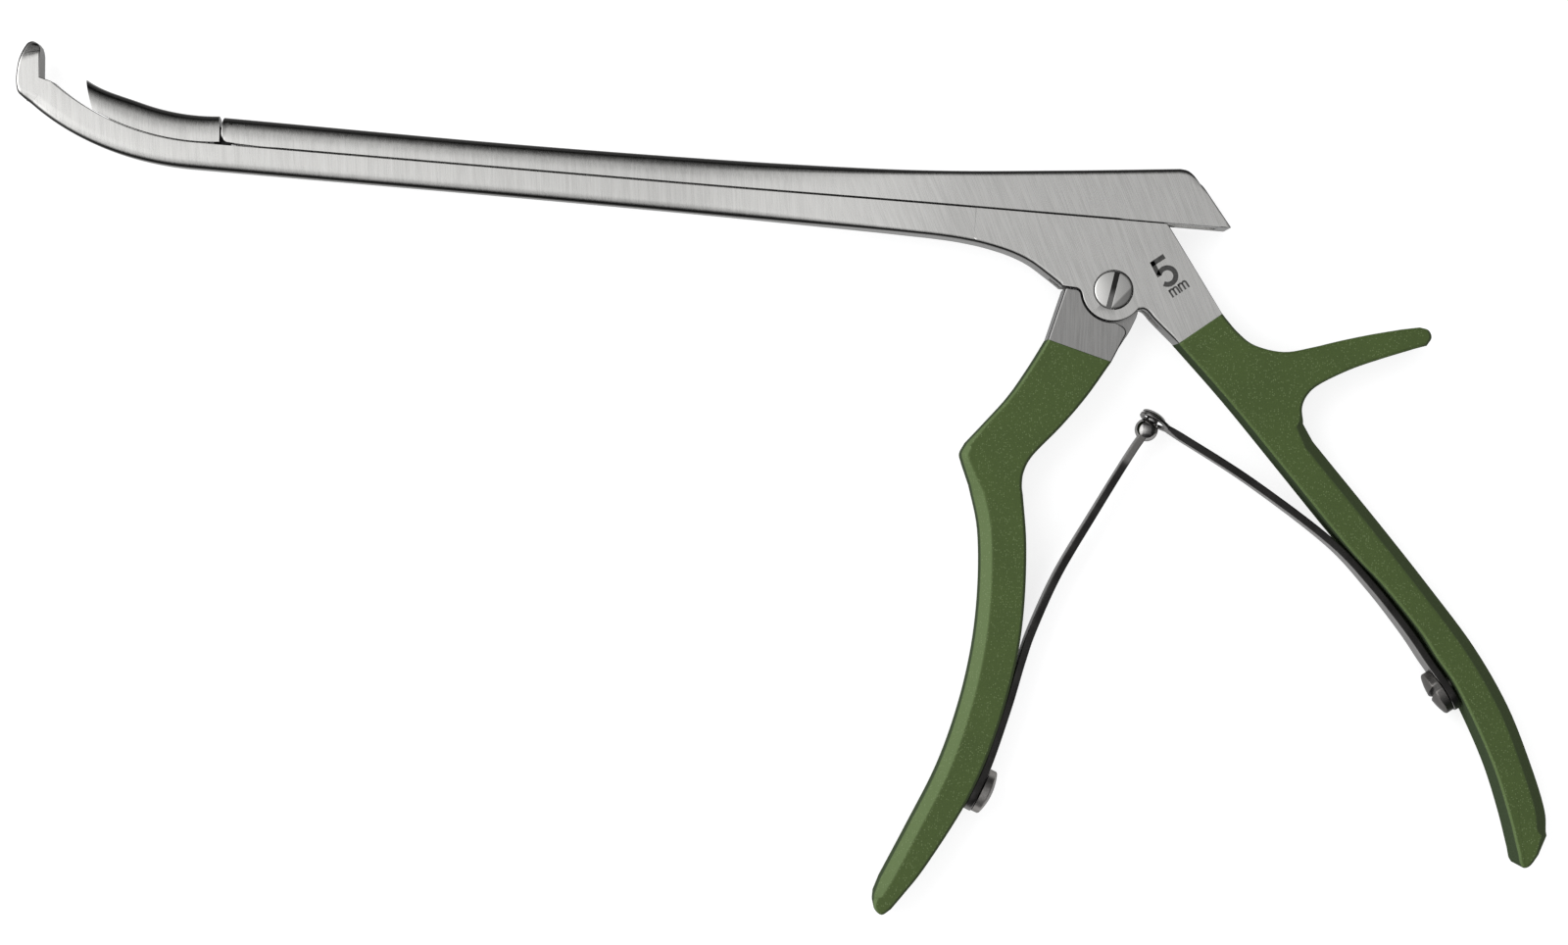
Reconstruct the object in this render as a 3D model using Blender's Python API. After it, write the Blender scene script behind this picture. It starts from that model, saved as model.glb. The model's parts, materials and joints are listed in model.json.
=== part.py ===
"""Bone rongeur with a curved, jointed jaw, lying on its side.

X runs along the straight shaft towards the handles, Y from the handles towards the sliding bar, and Z
up from the surface the instrument lies on. Everything is modelled about the pivot screw's axis, and the
whole is then carried by one empty to the middle of its outline. Lengths are in metres.
"""

from math import asin, cos, hypot, pi, radians, sin, sqrt, tan

import bmesh
import bpy
import numpy as np
from mathutils import Vector

# Thicknesses across the instrument
GRIP_THICKNESS = 0.0100
STEEL_THICKNESS = 0.0094
BITE_WIDTH = 0.0050
GRIP_WALL = 0.0012
GRIP_EDGE = 0.0005
GRIP_CHAMFER = 0.0022
CHAMFER_SLOPE = 0.75
TONGUE_THICKNESS = 0.0030

# Clearances
GAP = 0.0003
SLIDE_GAP = 0.0002
BITE_GAP = 0.00015

# Lower shaft: a straight beam that bends up into the foot along an arc
PARTING = 0.0135
BEND_START = -0.1785
RAIL_RADIUS = 0.0480
TOE_ANGLE = radians(36.5)
SHAFT_HEIGHT = 0.0050
TOE_HEIGHT = 0.0058
SHAFT_ROUND = 0.0012
BODY_EDGE = 0.0006
TUCK = 0.0003
FLARE_FRONT = -0.0850
FLARE_REAR = -0.0300
BODY_FRONT = -0.0275

# Foot that the punch bites against. Its outline is in shares of its depth behind the face and of its rise
FOOT_RUN = 0.00225
FOOT_FACE = BEND_START - RAIL_RADIUS * sin(TOE_ANGLE) - FOOT_RUN
FOOT_LEAN = radians(4.0)
FOOT_RAMP = 0.0006
FOOT_RISE = 0.0070
FOOT_DEPTH = 0.0043
FOOT_ROUND = 0.0007
FOOT_BREAK = 0.0015
FOOT_BACK = [(0.23, 0.914), (0.56, 1.0), (0.77, 0.914), (0.95, 0.63), (1.05, 0.286), (1.07, -0.114)]
FOOT_TOE = [(0.95, -0.43), (0.72, -0.57), (0.49, -0.67)]
TOE_RUN = 0.0004

# T-shaped guide between the lower shaft and what slides on it
GUIDE_NECK = 0.0012
GUIDE_NECK_DEPTH = 0.0011
GUIDE_HEAD = 0.0026
GUIDE_HEAD_DEPTH = 0.0008
GUIDE_GAP = 0.0002
GUIDE_ROOT = 0.0005
SLIDE_KEY_SETBACK = 0.0235
SLIDE_KEY_REAR = -0.0480

# Slide. Its nose stays a little behind the bend, and its key starts behind the punch's link
NOSE_SETBACK = 0.0050
SLIDE_FRONT = BEND_START + NOSE_SETBACK
SLIDE_KEY_FRONT = SLIDE_FRONT + SLIDE_KEY_SETBACK
SLIDE_REAR = 0.0208
SLIDE_EDGE = 0.0009
NOSE_ROUND = 0.0012
TONGUE_GROOVE_END = 0.0026
TOP_STATIONS = (-0.0200, -0.0100, 0.0)

# Punch segment
PUNCH_REAR = SLIDE_FRONT - SLIDE_GAP
PUNCH_LEAN = 0.17
PUNCH_HEIGHT = 0.0052
PUNCH_TIP_HEIGHT = 0.0042
TOP_ROUND = 0.0019
BITE_ANGLE = radians(15.2)
CUP_WIDTH = 0.0034
CUP_HEIGHT = 0.0026
CUP_DEPTH = 0.0055
CUP_FLOOR = 0.0007
CUP_LEAD = 0.0030
CUP_TAPER = 0.6
PUNCH_KEY_END = radians(3.0)
LINK_X = SLIDE_FRONT + 0.0028
LINK_Y = PARTING + 0.0027
LINK_RADIUS = 0.00125
LINK_LENGTH = 0.0032
LINK_NECK = 0.0016

# Front handle: how far it closes, and the tongue that drives the slide
HANDLE_SWING = radians(37.0)
HEAD_RADIUS = 0.0029
HEAD_GAP = 0.0003
ARM_WIDTH = 0.0038
ARM_FLARE = 0.0006
ARM_FOOT = 0.0012
HUB_RADIUS = 0.0048
EAR_RADIUS = 0.0060
EAR_FILLET = 0.0015
LEDGE_Y = -0.0002
LEDGE_LEFT = -0.0092
CORNER_X = 0.0097
CORNER_CUT = 0.0005
KNEE_CENTRE = (0.00175, -0.0081)
KNEE_RADIUS = 0.0014
CORE_PAST = 0.0030

# Fasteners
PIVOT_HEAD_RADIUS = 0.00365
PIVOT_HEAD_HEIGHT = 0.0016
PIVOT_SHANK_RADIUS = 0.0022
PIVOT_DOME = 0.00035
PIVOT_SLOT_WIDTH = 0.00085
PIVOT_SLOT_DEPTH = 0.0008
PIVOT_SLOT_TURN = radians(-9.0)
SPRING_HEAD_RADIUS = 0.0044
SPRING_HEAD_HEIGHT = 0.0015
SPRING_DOME = 0.00085
SPRING_SHANK_RADIUS = 0.0015
SPRING_SHANK_LENGTH = 0.0060
SPRING_SLOT_WIDTH = 0.0011
SPRING_SLOT_DEPTH = 0.0010

# Leaf springs
LEAF_THICKNESS = 0.0013
LEAF_BASE_WIDTH = 0.0080
LEAF_END_WIDTH = 0.0032
LEAF_ROUNDING = (0.0003, 0.0012, 0.0022)
LEAF_STRAIGHT = 0.0035
LEAF_SEAT = 0.0045
LEAF_TAIL = 0.0030
BALL_RADIUS = 0.00225
BALL_NECK = 0.0012
BALL_CAP_RADIUS = 0.0024
BALL_CAP_HEIGHT = 0.0009
EYE_RADIUS = 0.0036
EYE_HOLE = 0.0017
EYE_PLAY = 0.0009

MIDDLE = GRIP_THICKNESS / 2
BODY_LOW = MIDDLE - STEEL_THICKNESS / 2
BODY_HIGH = MIDDLE + STEEL_THICKNESS / 2
CORE_INSET = GRIP_WALL + GAP
THROUGH = 0.0010
ARC_CENTRE = (BEND_START, PARTING + RAIL_RADIUS)
STRAIGHT_STATIONS = (-0.1400, -0.1200, -0.1000)
FLARE_STATIONS = [FLARE_FRONT + (FLARE_REAR - FLARE_FRONT) * k / 9 for k in range(10)]
ROUND_STEPS = 40

# Points that the handles' edges pass through smoothly, from the steel boundary to the tip
FRONT_OUTER = [(-0.0117, -0.0105), (-0.0145, -0.0160), (-0.0180, -0.0220), (-0.0226, -0.0280)]
FRONT_CORNER = [(-0.0255, -0.0316), (-0.0264, -0.0337), (-0.0259, -0.0355)]
FRONT_GRIP = [(-0.0241, -0.0397), (-0.0217, -0.0481), (-0.0207, -0.0594), (-0.0210, -0.0709),
              (-0.0227, -0.0825), (-0.0258, -0.0942), (-0.0306, -0.1060), (-0.0351, -0.1165)]
FRONT_TIP = [(-0.0360, -0.1195), (-0.0358, -0.1219), (-0.0342, -0.1232), (-0.0325, -0.1220)]
FRONT_INNER = [(-0.0307, -0.1195), (-0.0267, -0.1135), (-0.0204, -0.1017), (-0.0167, -0.0921),
               (-0.0140, -0.0815), (-0.0123, -0.0710), (-0.0119, -0.0610), (-0.0125, -0.0500),
               (-0.0138, -0.0416), (-0.0143, -0.0388), (-0.0141, -0.0360), (-0.0126, -0.0328),
               (-0.0078, -0.0270), (-0.0034, -0.0209), (0.0008, -0.0138)]
REAR_INNER = [(0.0133, -0.0092), (0.0240, -0.0195), (0.0350, -0.0309), (0.0460, -0.0424),
              (0.0514, -0.0477), (0.0560, -0.0518), (0.0636, -0.0597), (0.0677, -0.0650), (0.0716, -0.0698),
              (0.0761, -0.0771), (0.0805, -0.0854), (0.0839, -0.0937), (0.0864, -0.1010)]
REAR_TIP = [(0.0872, -0.1031), (0.0885, -0.1041), (0.0900, -0.1031), (0.0914, -0.1005)]
REAR_BACK = [(0.0921, -0.0973), (0.0912, -0.0925), (0.0878, -0.0840), (0.0824, -0.0731), (0.0750, -0.0624),
             (0.0657, -0.0519), (0.0559, -0.0414), (0.0458, -0.0309), (0.0408, -0.0257)]
HORN_LOWER = [(0.0386, -0.0225), (0.0380, -0.0196), (0.0388, -0.0170), (0.0410, -0.0147), (0.0464, -0.0115),
              (0.0520, -0.0090), (0.0588, -0.0063)]
HORN_TIP = [(0.0608, -0.0056), (0.0616, -0.0040), (0.0609, -0.0026), (0.0592, -0.0022)]
HORN_UPPER = [(0.0557, -0.0029), (0.0502, -0.0043), (0.0447, -0.0059), (0.0392, -0.0077), (0.0336, -0.0091),
              (0.0280, -0.0083), (0.0245, -0.0061), (0.0212, -0.0028)]

# Middle lines of the leaf springs, from the screw to the joint
FRONT_LEAF = [(-0.0195, -0.1019), (-0.0180, -0.0980), (-0.0160, -0.0925), (-0.0132, -0.0815),
              (-0.0113, -0.0725), (-0.0096, -0.0660), (-0.0057, -0.0552), (0.0001, -0.0433),
              (0.0061, -0.0315), (0.0084, -0.0274)]
REAR_LEAF = [(0.0733, -0.0745), (0.0704, -0.0705), (0.0664, -0.0657), (0.0623, -0.0606), (0.0550, -0.0527),
             (0.0460, -0.0446), (0.0299, -0.0344), (0.0157, -0.0269), (0.0101, -0.0241), (0.0071, -0.0226)]
BALL = (0.0091, -0.0261)
FRONT_LEAF_BEND = (-0.0105, -0.0700)
REAR_LEAF_BEND = (0.0480, -0.0464)

# Heights of the slide's top edge and of the lower shaft's bottom edge along the straight part
SLIDE_TOP = [(SLIDE_FRONT, PARTING + SLIDE_GAP + PUNCH_HEIGHT), (-0.1100, PARTING + 0.0051),
             (-0.0650, PARTING + 0.0058), (-0.0350, PARTING + 0.0069), (-0.0120, PARTING + 0.0088),
             (0.0112, PARTING + 0.0111)]
SLIDE_CORNER = [SLIDE_TOP[-1], (0.0128, PARTING + 0.0108), (0.0144, PARTING + 0.0097),
                (0.0158, PARTING + 0.0080)]
SHAFT_BOTTOM = [(BEND_START, PARTING - SHAFT_HEIGHT), (-0.1100, PARTING - 0.0052),
                (-0.0640, PARTING - 0.0056), (-0.0400, PARTING - 0.0060), (BODY_FRONT, PARTING - 0.0064)]
BODY_LOWER = [SHAFT_BOTTOM[-1], (-0.0208, 0.0054), (-0.0151, 0.0027), (-0.0098, LEDGE_Y)]

# Body's web behind the ear, the slot between its cheeks, and the tongue's edges below the hub
BODY_WEB = [(0.0087, -0.0053), (0.0074, -0.0040), (0.0066, -0.0034), (0.0058, -0.0032)]
LEVER_SLOT = [(-0.0076, PARTING + 0.0010), (-0.0092, 0.0080), (-0.0125, 0.0005), (-0.0125, -0.0120),
              (0.0098, -0.0120), (0.0096, -0.0030), (0.0084, 0.0020), (0.0076, 0.0070),
              (0.0076, PARTING + 0.0010)]
TONGUE_SHIN = [(-0.0086, -0.0060), (-0.0060, -0.0105), (0.0010, -0.0115), (0.0033, -0.0090),
               (0.0047, -0.0060), (0.0054, -0.0033), (0.0050, 0.0020)]

STEEL = ("satin_steel", (0.62, 0.61, 0.59), 0.34, 1.0)
SPRING_STEEL = ("spring_steel", (0.23, 0.22, 0.21), 0.30, 1.0)
GREEN_COAT = ("green_coat", (0.085, 0.135, 0.050), 0.48, 0.0)


def clear_scene():
    for obj in list(bpy.data.objects):
        bpy.data.objects.remove(obj)


def material(spec):
    """A Principled material of the given name, colour, roughness and metallic value."""
    name, colour, roughness, metallic = spec
    found = bpy.data.materials.get(name)
    if found:
        return found
    made = bpy.data.materials.new(name)
    made.use_nodes = True
    made.diffuse_color = (*colour, 1)
    shader = made.node_tree.nodes["Principled BSDF"]
    shader.inputs["Base Color"].default_value = (*colour, 1)
    shader.inputs["Roughness"].default_value = roughness
    shader.inputs["Metallic"].default_value = metallic
    return made


def smooth(points, steps):
    """Points along a Catmull-Rom curve through the given ones, with this many steps in each stretch."""
    p = np.array(points, float)
    ends = np.vstack([2 * p[0] - p[1], p, 2 * p[-1] - p[-2]])
    t = np.arange(steps) / steps
    run = []
    for a, b, c, d in zip(ends, ends[1:], ends[2:], ends[3:]):
        for s in t:
            run.append(0.5 * (2 * b + (c - a) * s + (2 * a - 5 * b + 4 * c - d) * s**2
                              + (3 * b - a - 3 * c + d) * s**3))
    run.append(p[-1])
    return [tuple(float(v) for v in q) for q in run]


def height_at(points, x):
    """Height at x of the smooth edge through these points, whose x rises."""
    p = np.array(points, float)
    slope = np.gradient(p[:, 1], p[:, 0])
    i = int(np.clip(np.searchsorted(p[:, 0], x) - 1, 0, len(p) - 2))
    span = p[i + 1, 0] - p[i, 0]
    s = (x - p[i, 0]) / span
    return float((2 * s**3 - 3 * s**2 + 1) * p[i, 1] + (s**3 - 2 * s**2 + s) * span * slope[i]
                 + (3 * s**2 - 2 * s**3) * p[i + 1, 1] + (s**3 - s**2) * span * slope[i + 1])


def ease(s):
    s = min(max(s, 0.0), 1.0)
    return s * s * (3 - 2 * s)


def arc(centre, radius, start, end, steps):
    """Points on an arc, with the angles in radians."""
    return [(centre[0] + radius * cos(start + (end - start) * k / steps),
             centre[1] + radius * sin(start + (end - start) * k / steps)) for k in range(steps + 1)]


def turned_about(point, centre, angle):
    x, y = point[0] - centre[0], point[1] - centre[1]
    return (centre[0] + x * cos(angle) - y * sin(angle), centre[1] + x * sin(angle) + y * cos(angle))


def trace(*stretches):
    """Joins stretches of (points, edge width) into one closed outline and the width of each of its edges."""
    points, widths = [], []
    for run, width in stretches:
        for point in run:
            if points and hypot(point[0] - points[-1][0], point[1] - points[-1][1]) < 1e-5:
                continue
            points.append(tuple(point))
            widths.append(width)
    return points, widths


def square_edged(points):
    return points, [0.0] * len(points)


def inset(points, distances):
    """The outline with each edge moved inwards by its own distance. The outline runs anticlockwise."""
    moved = []
    for i, (bx, by) in enumerate(points):
        ax, ay = points[i - 1]
        cx, cy = points[(i + 1) % len(points)]
        first = Vector((bx - ax, by - ay)).normalized()
        second = Vector((cx - bx, cy - by)).normalized()
        n1, n2 = Vector((-first.y, first.x)), Vector((-second.y, second.x))
        d1, d2 = distances[i - 1], distances[i]
        turn = first.x * second.y - first.y * second.x
        if abs(turn) < 0.12 or (d1 != d2 and abs(turn) < 0.6):
            step = (n1 * d1 + n2 * d2) / 2
        else:
            step = n1 * d1 + first * ((d1 * n1.dot(n2) - d2) / turn)
        moved.append((bx + step.x, by + step.y))
    return moved


def new_object(name, bm, spec, carrier):
    """Makes the object, shades it smooth except at its edges, and hangs it on its carrier unmoved."""
    bmesh.ops.recalc_face_normals(bm, faces=bm.faces)
    mesh = bpy.data.meshes.new(name)
    bm.to_mesh(mesh)
    bm.free()
    mesh.shade_smooth()
    mesh.set_sharp_from_angle(angle=radians(30))
    obj = bpy.data.objects.new(name, mesh)
    bpy.context.scene.collection.objects.link(obj)
    obj.data.materials.append(material(spec))
    empty, place = carrier
    obj.parent = empty
    obj.location = -place
    return obj


def loft(name, rings, spec, carrier):
    """A solid through rings of equally many points, closed at both ends."""
    bm = bmesh.new()
    rows = [[bm.verts.new(p) for p in ring] for ring in rings]
    count = len(rows[0])
    for low, high in zip(rows, rows[1:]):
        for i in range(count):
            j = (i + 1) % count
            bm.faces.new((low[i], low[j], high[j], high[i]))
    bm.faces.new(rows[0][::-1])
    bm.faces.new(rows[-1])
    return new_object(name, bm, spec, carrier)


def plate(name, outline, low, high, spec, carrier, steps=1, slope=1.0):
    """A flat plate with its edges broken. The outline comes with a width for each edge: one step gives a
    chamfer of that width, two a rounding. Slope is the break's depth for its width."""
    points, widths = outline
    area = sum(a[0] * b[1] - b[0] * a[1] for a, b in zip(points, points[1:] + points[:1]))
    if area < 0:
        points, widths = points[::-1], widths[-2::-1] + widths[-1:]
    if max(widths) == 0:
        levels = [(0.0, 0.0)]
    else:
        levels = [(1 - sin(k * pi / 2 / steps), 1 - cos(k * pi / 2 / steps)) for k in range(steps + 1)]
    pairs = [(widths[i - 1], widths[i]) for i in range(len(points))]
    depth = [slope * (max(a, b) if min(a, b) == 0 else (a + b) / 2) for a, b in pairs]
    rings = []
    for across, down in levels:
        ring = inset(points, [w * across for w in widths])
        rings.append([(x, y, low + d * down) for (x, y), d in zip(ring, depth)])
    rings += [[(x, y, low + high - z) for x, y, z in ring] for ring in reversed(rings)]
    return loft(name, rings, spec, carrier)


def turned(name, profile, origin, axis, spec, carrier, steps=ROUND_STEPS):
    """A turned solid. The profile's points are (radius, height along the axis), with both ends on it."""
    axis = Vector(axis).normalized()
    side = axis.orthogonal().normalized()
    other = axis.cross(side)
    bm = bmesh.new()
    rows = []
    for radius, height in profile:
        middle = Vector(origin) + axis * height
        if radius < 1e-9:
            rows.append([bm.verts.new(middle)])
            continue
        turns = [2 * pi * k / steps for k in range(steps)]
        rows.append([bm.verts.new(middle + radius * (side * cos(t) + other * sin(t))) for t in turns])
    for low, high in zip(rows, rows[1:]):
        for i in range(steps):
            j = (i + 1) % steps
            if len(low) == 1:
                bm.faces.new((low[0], high[j], high[i]))
            elif len(high) == 1:
                bm.faces.new((low[i], low[j], high[0]))
            else:
                bm.faces.new((low[i], low[j], high[j], high[i]))
    return new_object(name, bm, spec, carrier)


def rod(name, radius, low, high, place, carrier, steps=ROUND_STEPS):
    """A round bar upright on the surface, from one height to another, for a bore or a pin."""
    profile = [(0, low), (radius, low), (radius, high), (0, high)]
    return turned(name, profile, (place[0], place[1], 0), (0, 0, 1), STEEL, carrier, steps)


def block(name, low, high, carrier):
    """A box between two corners, for a straight-sided cut."""
    ring = [(low[0], low[1]), (high[0], low[1]), (high[0], high[1]), (low[0], high[1])]
    return plate(name, square_edged(ring), low[2], high[2], STEEL, carrier)


def combine(target, other, operation):
    """Joins or cuts the target with a helper, which itself stays out of the model."""
    step = target.modifiers.new(operation.lower() + "_" + other.name, "BOOLEAN")
    step.operation = operation
    step.solver = "EXACT"
    step.object = other
    other.hide_render = True
    other.display_type = "WIRE"


def join(target, *others):
    for other in others:
        combine(target, other, "UNION")


def cut(target, *others):
    for other in others:
        combine(target, other, "DIFFERENCE")


def carrier(name, place, parent=None):
    """An empty on a joint's axis, for the pieces that turn or slide there to hang on."""
    empty = bpy.data.objects.new(name, None)
    bpy.context.scene.collection.objects.link(empty)
    place = Vector((place[0], place[1], place[2]))
    if parent:
        empty.parent = parent[0]
        empty.location = place - parent[1]
    else:
        empty.location = place
    return empty, place


def flare(x):
    """How far the shaft and the slide have widened here: 0 along the bite's width, 1 at the body's."""
    return ease((x - FLARE_FRONT) / (FLARE_REAR - FLARE_FRONT))


def half_width(x):
    return (BITE_WIDTH + flare(x) * (STEEL_THICKNESS - BITE_WIDTH)) / 2


def on_arc(angle, radius):
    """The point this far round the bend, measured from straight below its centre towards the foot."""
    return (ARC_CENTRE[0] - radius * sin(angle), ARC_CENTRE[1] - radius * cos(angle))


def shaft_height(angle):
    return SHAFT_HEIGHT + (TOE_HEIGHT - SHAFT_HEIGHT) * ease(angle / TOE_ANGLE)


def closing_stroke():
    """How far the slide travels while the link on the punch turns through the bite's angle."""
    start = (LINK_X, LINK_Y)
    return LINK_X - turned_about(start, ARC_CENTRE, -BITE_ANGLE)[0]


def lever_length():
    """Length of the tongue whose head moves by the stroke while the handle swings to both sides of square."""
    return closing_stroke() / (2 * sin(HANDLE_SWING / 2))


def foot_base():
    """Where the foot's inner face meets the short ramp that rises to it from the end of the rail."""
    return (FOOT_FACE, on_arc(TOE_ANGLE, RAIL_RADIUS)[1] + FOOT_RAMP)


def shaft_ring(top, down, width, height, rounding=SHAFT_ROUND, shrink=0.0):
    """One section of the lower shaft, with the T-slot in its top and its bottom edges rounded."""
    half, h, r = width - shrink, height - shrink, rounding
    neck = GUIDE_NECK / 2 + GUIDE_GAP
    head = GUIDE_HEAD / 2 + GUIDE_GAP
    shelf = GUIDE_NECK_DEPTH - SLIDE_GAP - GUIDE_GAP
    floor = GUIDE_NECK_DEPTH + GUIDE_HEAD_DEPTH - SLIDE_GAP + GUIDE_GAP
    side = [(neck, shrink), (half, shrink), (half, h - r)]
    side += [(half - r * (1 - cos(a)), h - r * (1 - sin(a))) for a in (pi / 4, pi / 2)]
    slot = [(head, floor), (head, shelf), (neck, shelf)]
    right = slot + side
    run = right + [(-across, depth) for across, depth in reversed(right)]
    return [(top[0] + down[0] * depth, top[1] + down[1] * depth, MIDDLE + across) for across, depth in run]


def shaft_rings():
    """Sections from the foot to the body. At both ends a tucked length lies inside what it joins."""
    rail, base = Vector(on_arc(TOE_ANGLE, RAIL_RADIUS)), Vector(foot_base())
    down = (-sin(TOE_ANGLE), -cos(TOE_ANGLE))
    rings = []
    for reach in (0.0014, 0.0002):
        top = rail + (base - rail).normalized() * reach
        rings.append(shaft_ring(top, down, BITE_WIDTH / 2, TOE_HEIGHT, SHAFT_ROUND, TUCK))
    bends = 12
    for k in range(bends + 1):
        angle = TOE_ANGLE * (1 - k / bends)
        down = (-sin(angle), -cos(angle))
        rings.append(shaft_ring(on_arc(angle, RAIL_RADIUS), down, BITE_WIDTH / 2, shaft_height(angle)))
    for x in (*STRAIGHT_STATIONS, *FLARE_STATIONS, BODY_FRONT):
        height = PARTING - height_at(SHAFT_BOTTOM, x)
        rounding = SHAFT_ROUND + flare(x) * (BODY_EDGE - SHAFT_ROUND)
        rings.append(shaft_ring((x, PARTING), (0, -1), half_width(x), height, rounding))
    for x in (BODY_FRONT + 0.0005, BODY_FRONT + 0.0050):
        height = PARTING - height_at(BODY_LOWER, x)
        rings.append(shaft_ring((x, PARTING), (0, -1), half_width(x), height, BODY_EDGE, TUCK))
    return rings


def foot_outline():
    """The foot seen from the side: the inner face rises from the rail, the toe curls round below it."""
    rail = on_arc(TOE_ANGLE, RAIL_RADIUS)
    heel = on_arc(TOE_ANGLE, RAIL_RADIUS + shaft_height(TOE_ANGLE))
    base = foot_base()[1]
    rise = FOOT_RISE - FOOT_BREAK
    inner = [(FOOT_FACE, base), (FOOT_FACE - tan(FOOT_LEAN) * rise, base + rise)]
    back, toe = [[(FOOT_FACE - FOOT_DEPTH * across, base + FOOT_RISE * up) for across, up in run]
                 for run in (FOOT_BACK, FOOT_TOE)]
    square = (heel[0] - TOE_RUN * cos(TOE_ANGLE), heel[1] + TOE_RUN * sin(TOE_ANGLE))
    round_back = smooth([inner[1], *back, *toe, square], 2)[1:]
    turn = len(round_back) - len(toe) - 1
    return trace(([rail], 0), (inner[:1], 0.0002), (inner[1:], 0.0004), (round_back[:turn], FOOT_ROUND),
                 (round_back[turn:], SHAFT_ROUND), ([heel], 0))


def body_outline():
    """The cheeked body: parting line, rear edge, coat boundary, ear round the pivot and the level ledge."""
    boundary_rear, boundary_inner = HORN_UPPER[-1], REAR_INNER[0]
    corner = (CORNER_X, PARTING - CORNER_CUT)
    fillet_x = -sqrt((EAR_RADIUS + EAR_FILLET) ** 2 - (LEDGE_Y - EAR_FILLET) ** 2)
    fillet = (fillet_x, LEDGE_Y - EAR_FILLET)
    meet = asin(fillet[1] / (EAR_RADIUS + EAR_FILLET))
    ear = arc((0, 0), EAR_RADIUS, radians(-36), -pi - meet, 18)
    hollow = arc(fillet, EAR_FILLET, -meet, pi / 2, 4)
    lower = smooth(BODY_LOWER, 3)[::-1]
    return trace(([(BODY_FRONT, PARTING)], 0.0), ([(CORNER_X - CORNER_CUT, PARTING), corner], 0.0002),
                 ([boundary_rear], 0.0), ([boundary_inner], 0.0004), (BODY_WEB, 0.0002), (ear, 0.0002),
                 (hollow, 0.0002), (lower[:-1], BODY_EDGE), (lower[-1:], 0.0))


def rear_grip_outline(edge, back):
    """Outline of the rear handle's coat with its finger horn, with the back's chamfer width apart."""
    return trace((smooth(REAR_INNER, 2), edge), (REAR_TIP, edge), (smooth(REAR_BACK, 2), back),
                 (smooth(HORN_LOWER, 2), edge), (HORN_TIP, edge), (smooth(HORN_UPPER, 2)[:-1], edge),
                 (HORN_UPPER[-1:], 0.0))


def front_grip_outline(edge, front):
    """Outline of the front handle's coat, with the front edge's chamfer width apart."""
    return trace((smooth(FRONT_OUTER, 2), edge), (FRONT_CORNER, (edge + front) / 2),
                 (smooth(FRONT_GRIP, 2), front), (FRONT_TIP, edge), (smooth(FRONT_INNER, 2)[:-1], edge),
                 (FRONT_INNER[-1:], 0.0))


def core_outline(outline, inward, past):
    """The handle's steel core, inside the coat by one distance and running past its mouth by another."""
    points, widths = outline
    area = sum(a[0] * b[1] - b[0] * a[1] for a, b in zip(points, points[1:] + points[:1]))
    if area < 0:
        points, widths = points[::-1], widths[-2::-1] + widths[-1:]
    mouth = [-past if w == 0 else inward for w in widths]
    return square_edged(inset(points, mouth))


def handle_core(name, outline, carried):
    core = core_outline(outline(1.0, 1.0), CORE_INSET, CORE_PAST)
    return plate(name, core, CORE_INSET, GRIP_THICKNESS - CORE_INSET, STEEL, carried)


def grip(name, outline, carried):
    """A coat shell: the outer form with a hollow that clears the core and opens at the mouth."""
    shell = plate(name, outline(GRIP_EDGE, GRIP_CHAMFER), 0.0, GRIP_THICKNESS, GREEN_COAT, carried,
                  slope=CHAMFER_SLOPE)
    hollow = core_outline(outline(1.0, 1.0), GRIP_WALL, CORE_PAST)
    cut(shell, plate(name + "_hollow", hollow, GRIP_WALL, GRIP_THICKNESS - GRIP_WALL, STEEL, carried))
    return shell


def leaf_frame(path, distance):
    """The point and the direction at this distance along a leaf's middle line."""
    p = np.array(smooth(path, 6))
    run = np.concatenate([[0], np.cumsum(np.hypot(*np.diff(p, axis=0).T))])
    x, y = np.interp(distance, run, p[:, 0]), np.interp(distance, run, p[:, 1])
    ahead = np.array([np.interp(distance + 2e-4, run, p[:, k]) for k in (0, 1)])
    behind = np.array([np.interp(distance - 2e-4, run, p[:, k]) for k in (0, 1)])
    direction = (ahead - behind) / np.hypot(*(ahead - behind))
    return (float(x), float(y)), (float(direction[0]), float(direction[1])), float(run[-1])


def leaf(name, path, carried, eye):
    """A leaf spring: a strip on edge that tapers to its end, with a round end or an eye for the ball."""
    length = leaf_frame(path, 0)[2]
    stations = list(np.linspace(LEAF_STRAIGHT, length - 2 * EYE_RADIUS, 13))
    round_end = LEAF_BASE_WIDTH / 2
    rings = []
    if eye:
        tail = [length - EYE_RADIUS * (1 - cos(radians(a))) for a in (118, 90, 62, 38, 16)]
    else:
        tail = [length - LEAF_TAIL, length]
    for s in [*LEAF_ROUNDING, *stations, *tail]:
        (x, y), (dx, dy), _ = leaf_frame(path, s)
        half = LEAF_BASE_WIDTH / 2 + (LEAF_END_WIDTH - LEAF_BASE_WIDTH) / 2 * s / length
        if s < LEAF_STRAIGHT:
            half = min(half, sqrt(round_end**2 - (LEAF_STRAIGHT - s) ** 2))
        if eye and s > length - 2 * EYE_RADIUS:
            half = max(half if s < length - EYE_RADIUS else 0,
                       sqrt(max(EYE_RADIUS**2 - (s - length + EYE_RADIUS) ** 2, 1e-9)))
        nx, ny = -dy * LEAF_THICKNESS / 2, dx * LEAF_THICKNESS / 2
        rings.append([(x - nx, y - ny, MIDDLE - half), (x + nx, y + ny, MIDDLE - half),
                      (x + nx, y + ny, MIDDLE + half), (x - nx, y - ny, MIDDLE + half)])
    return loft(name, rings, SPRING_STEEL, carried)


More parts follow.
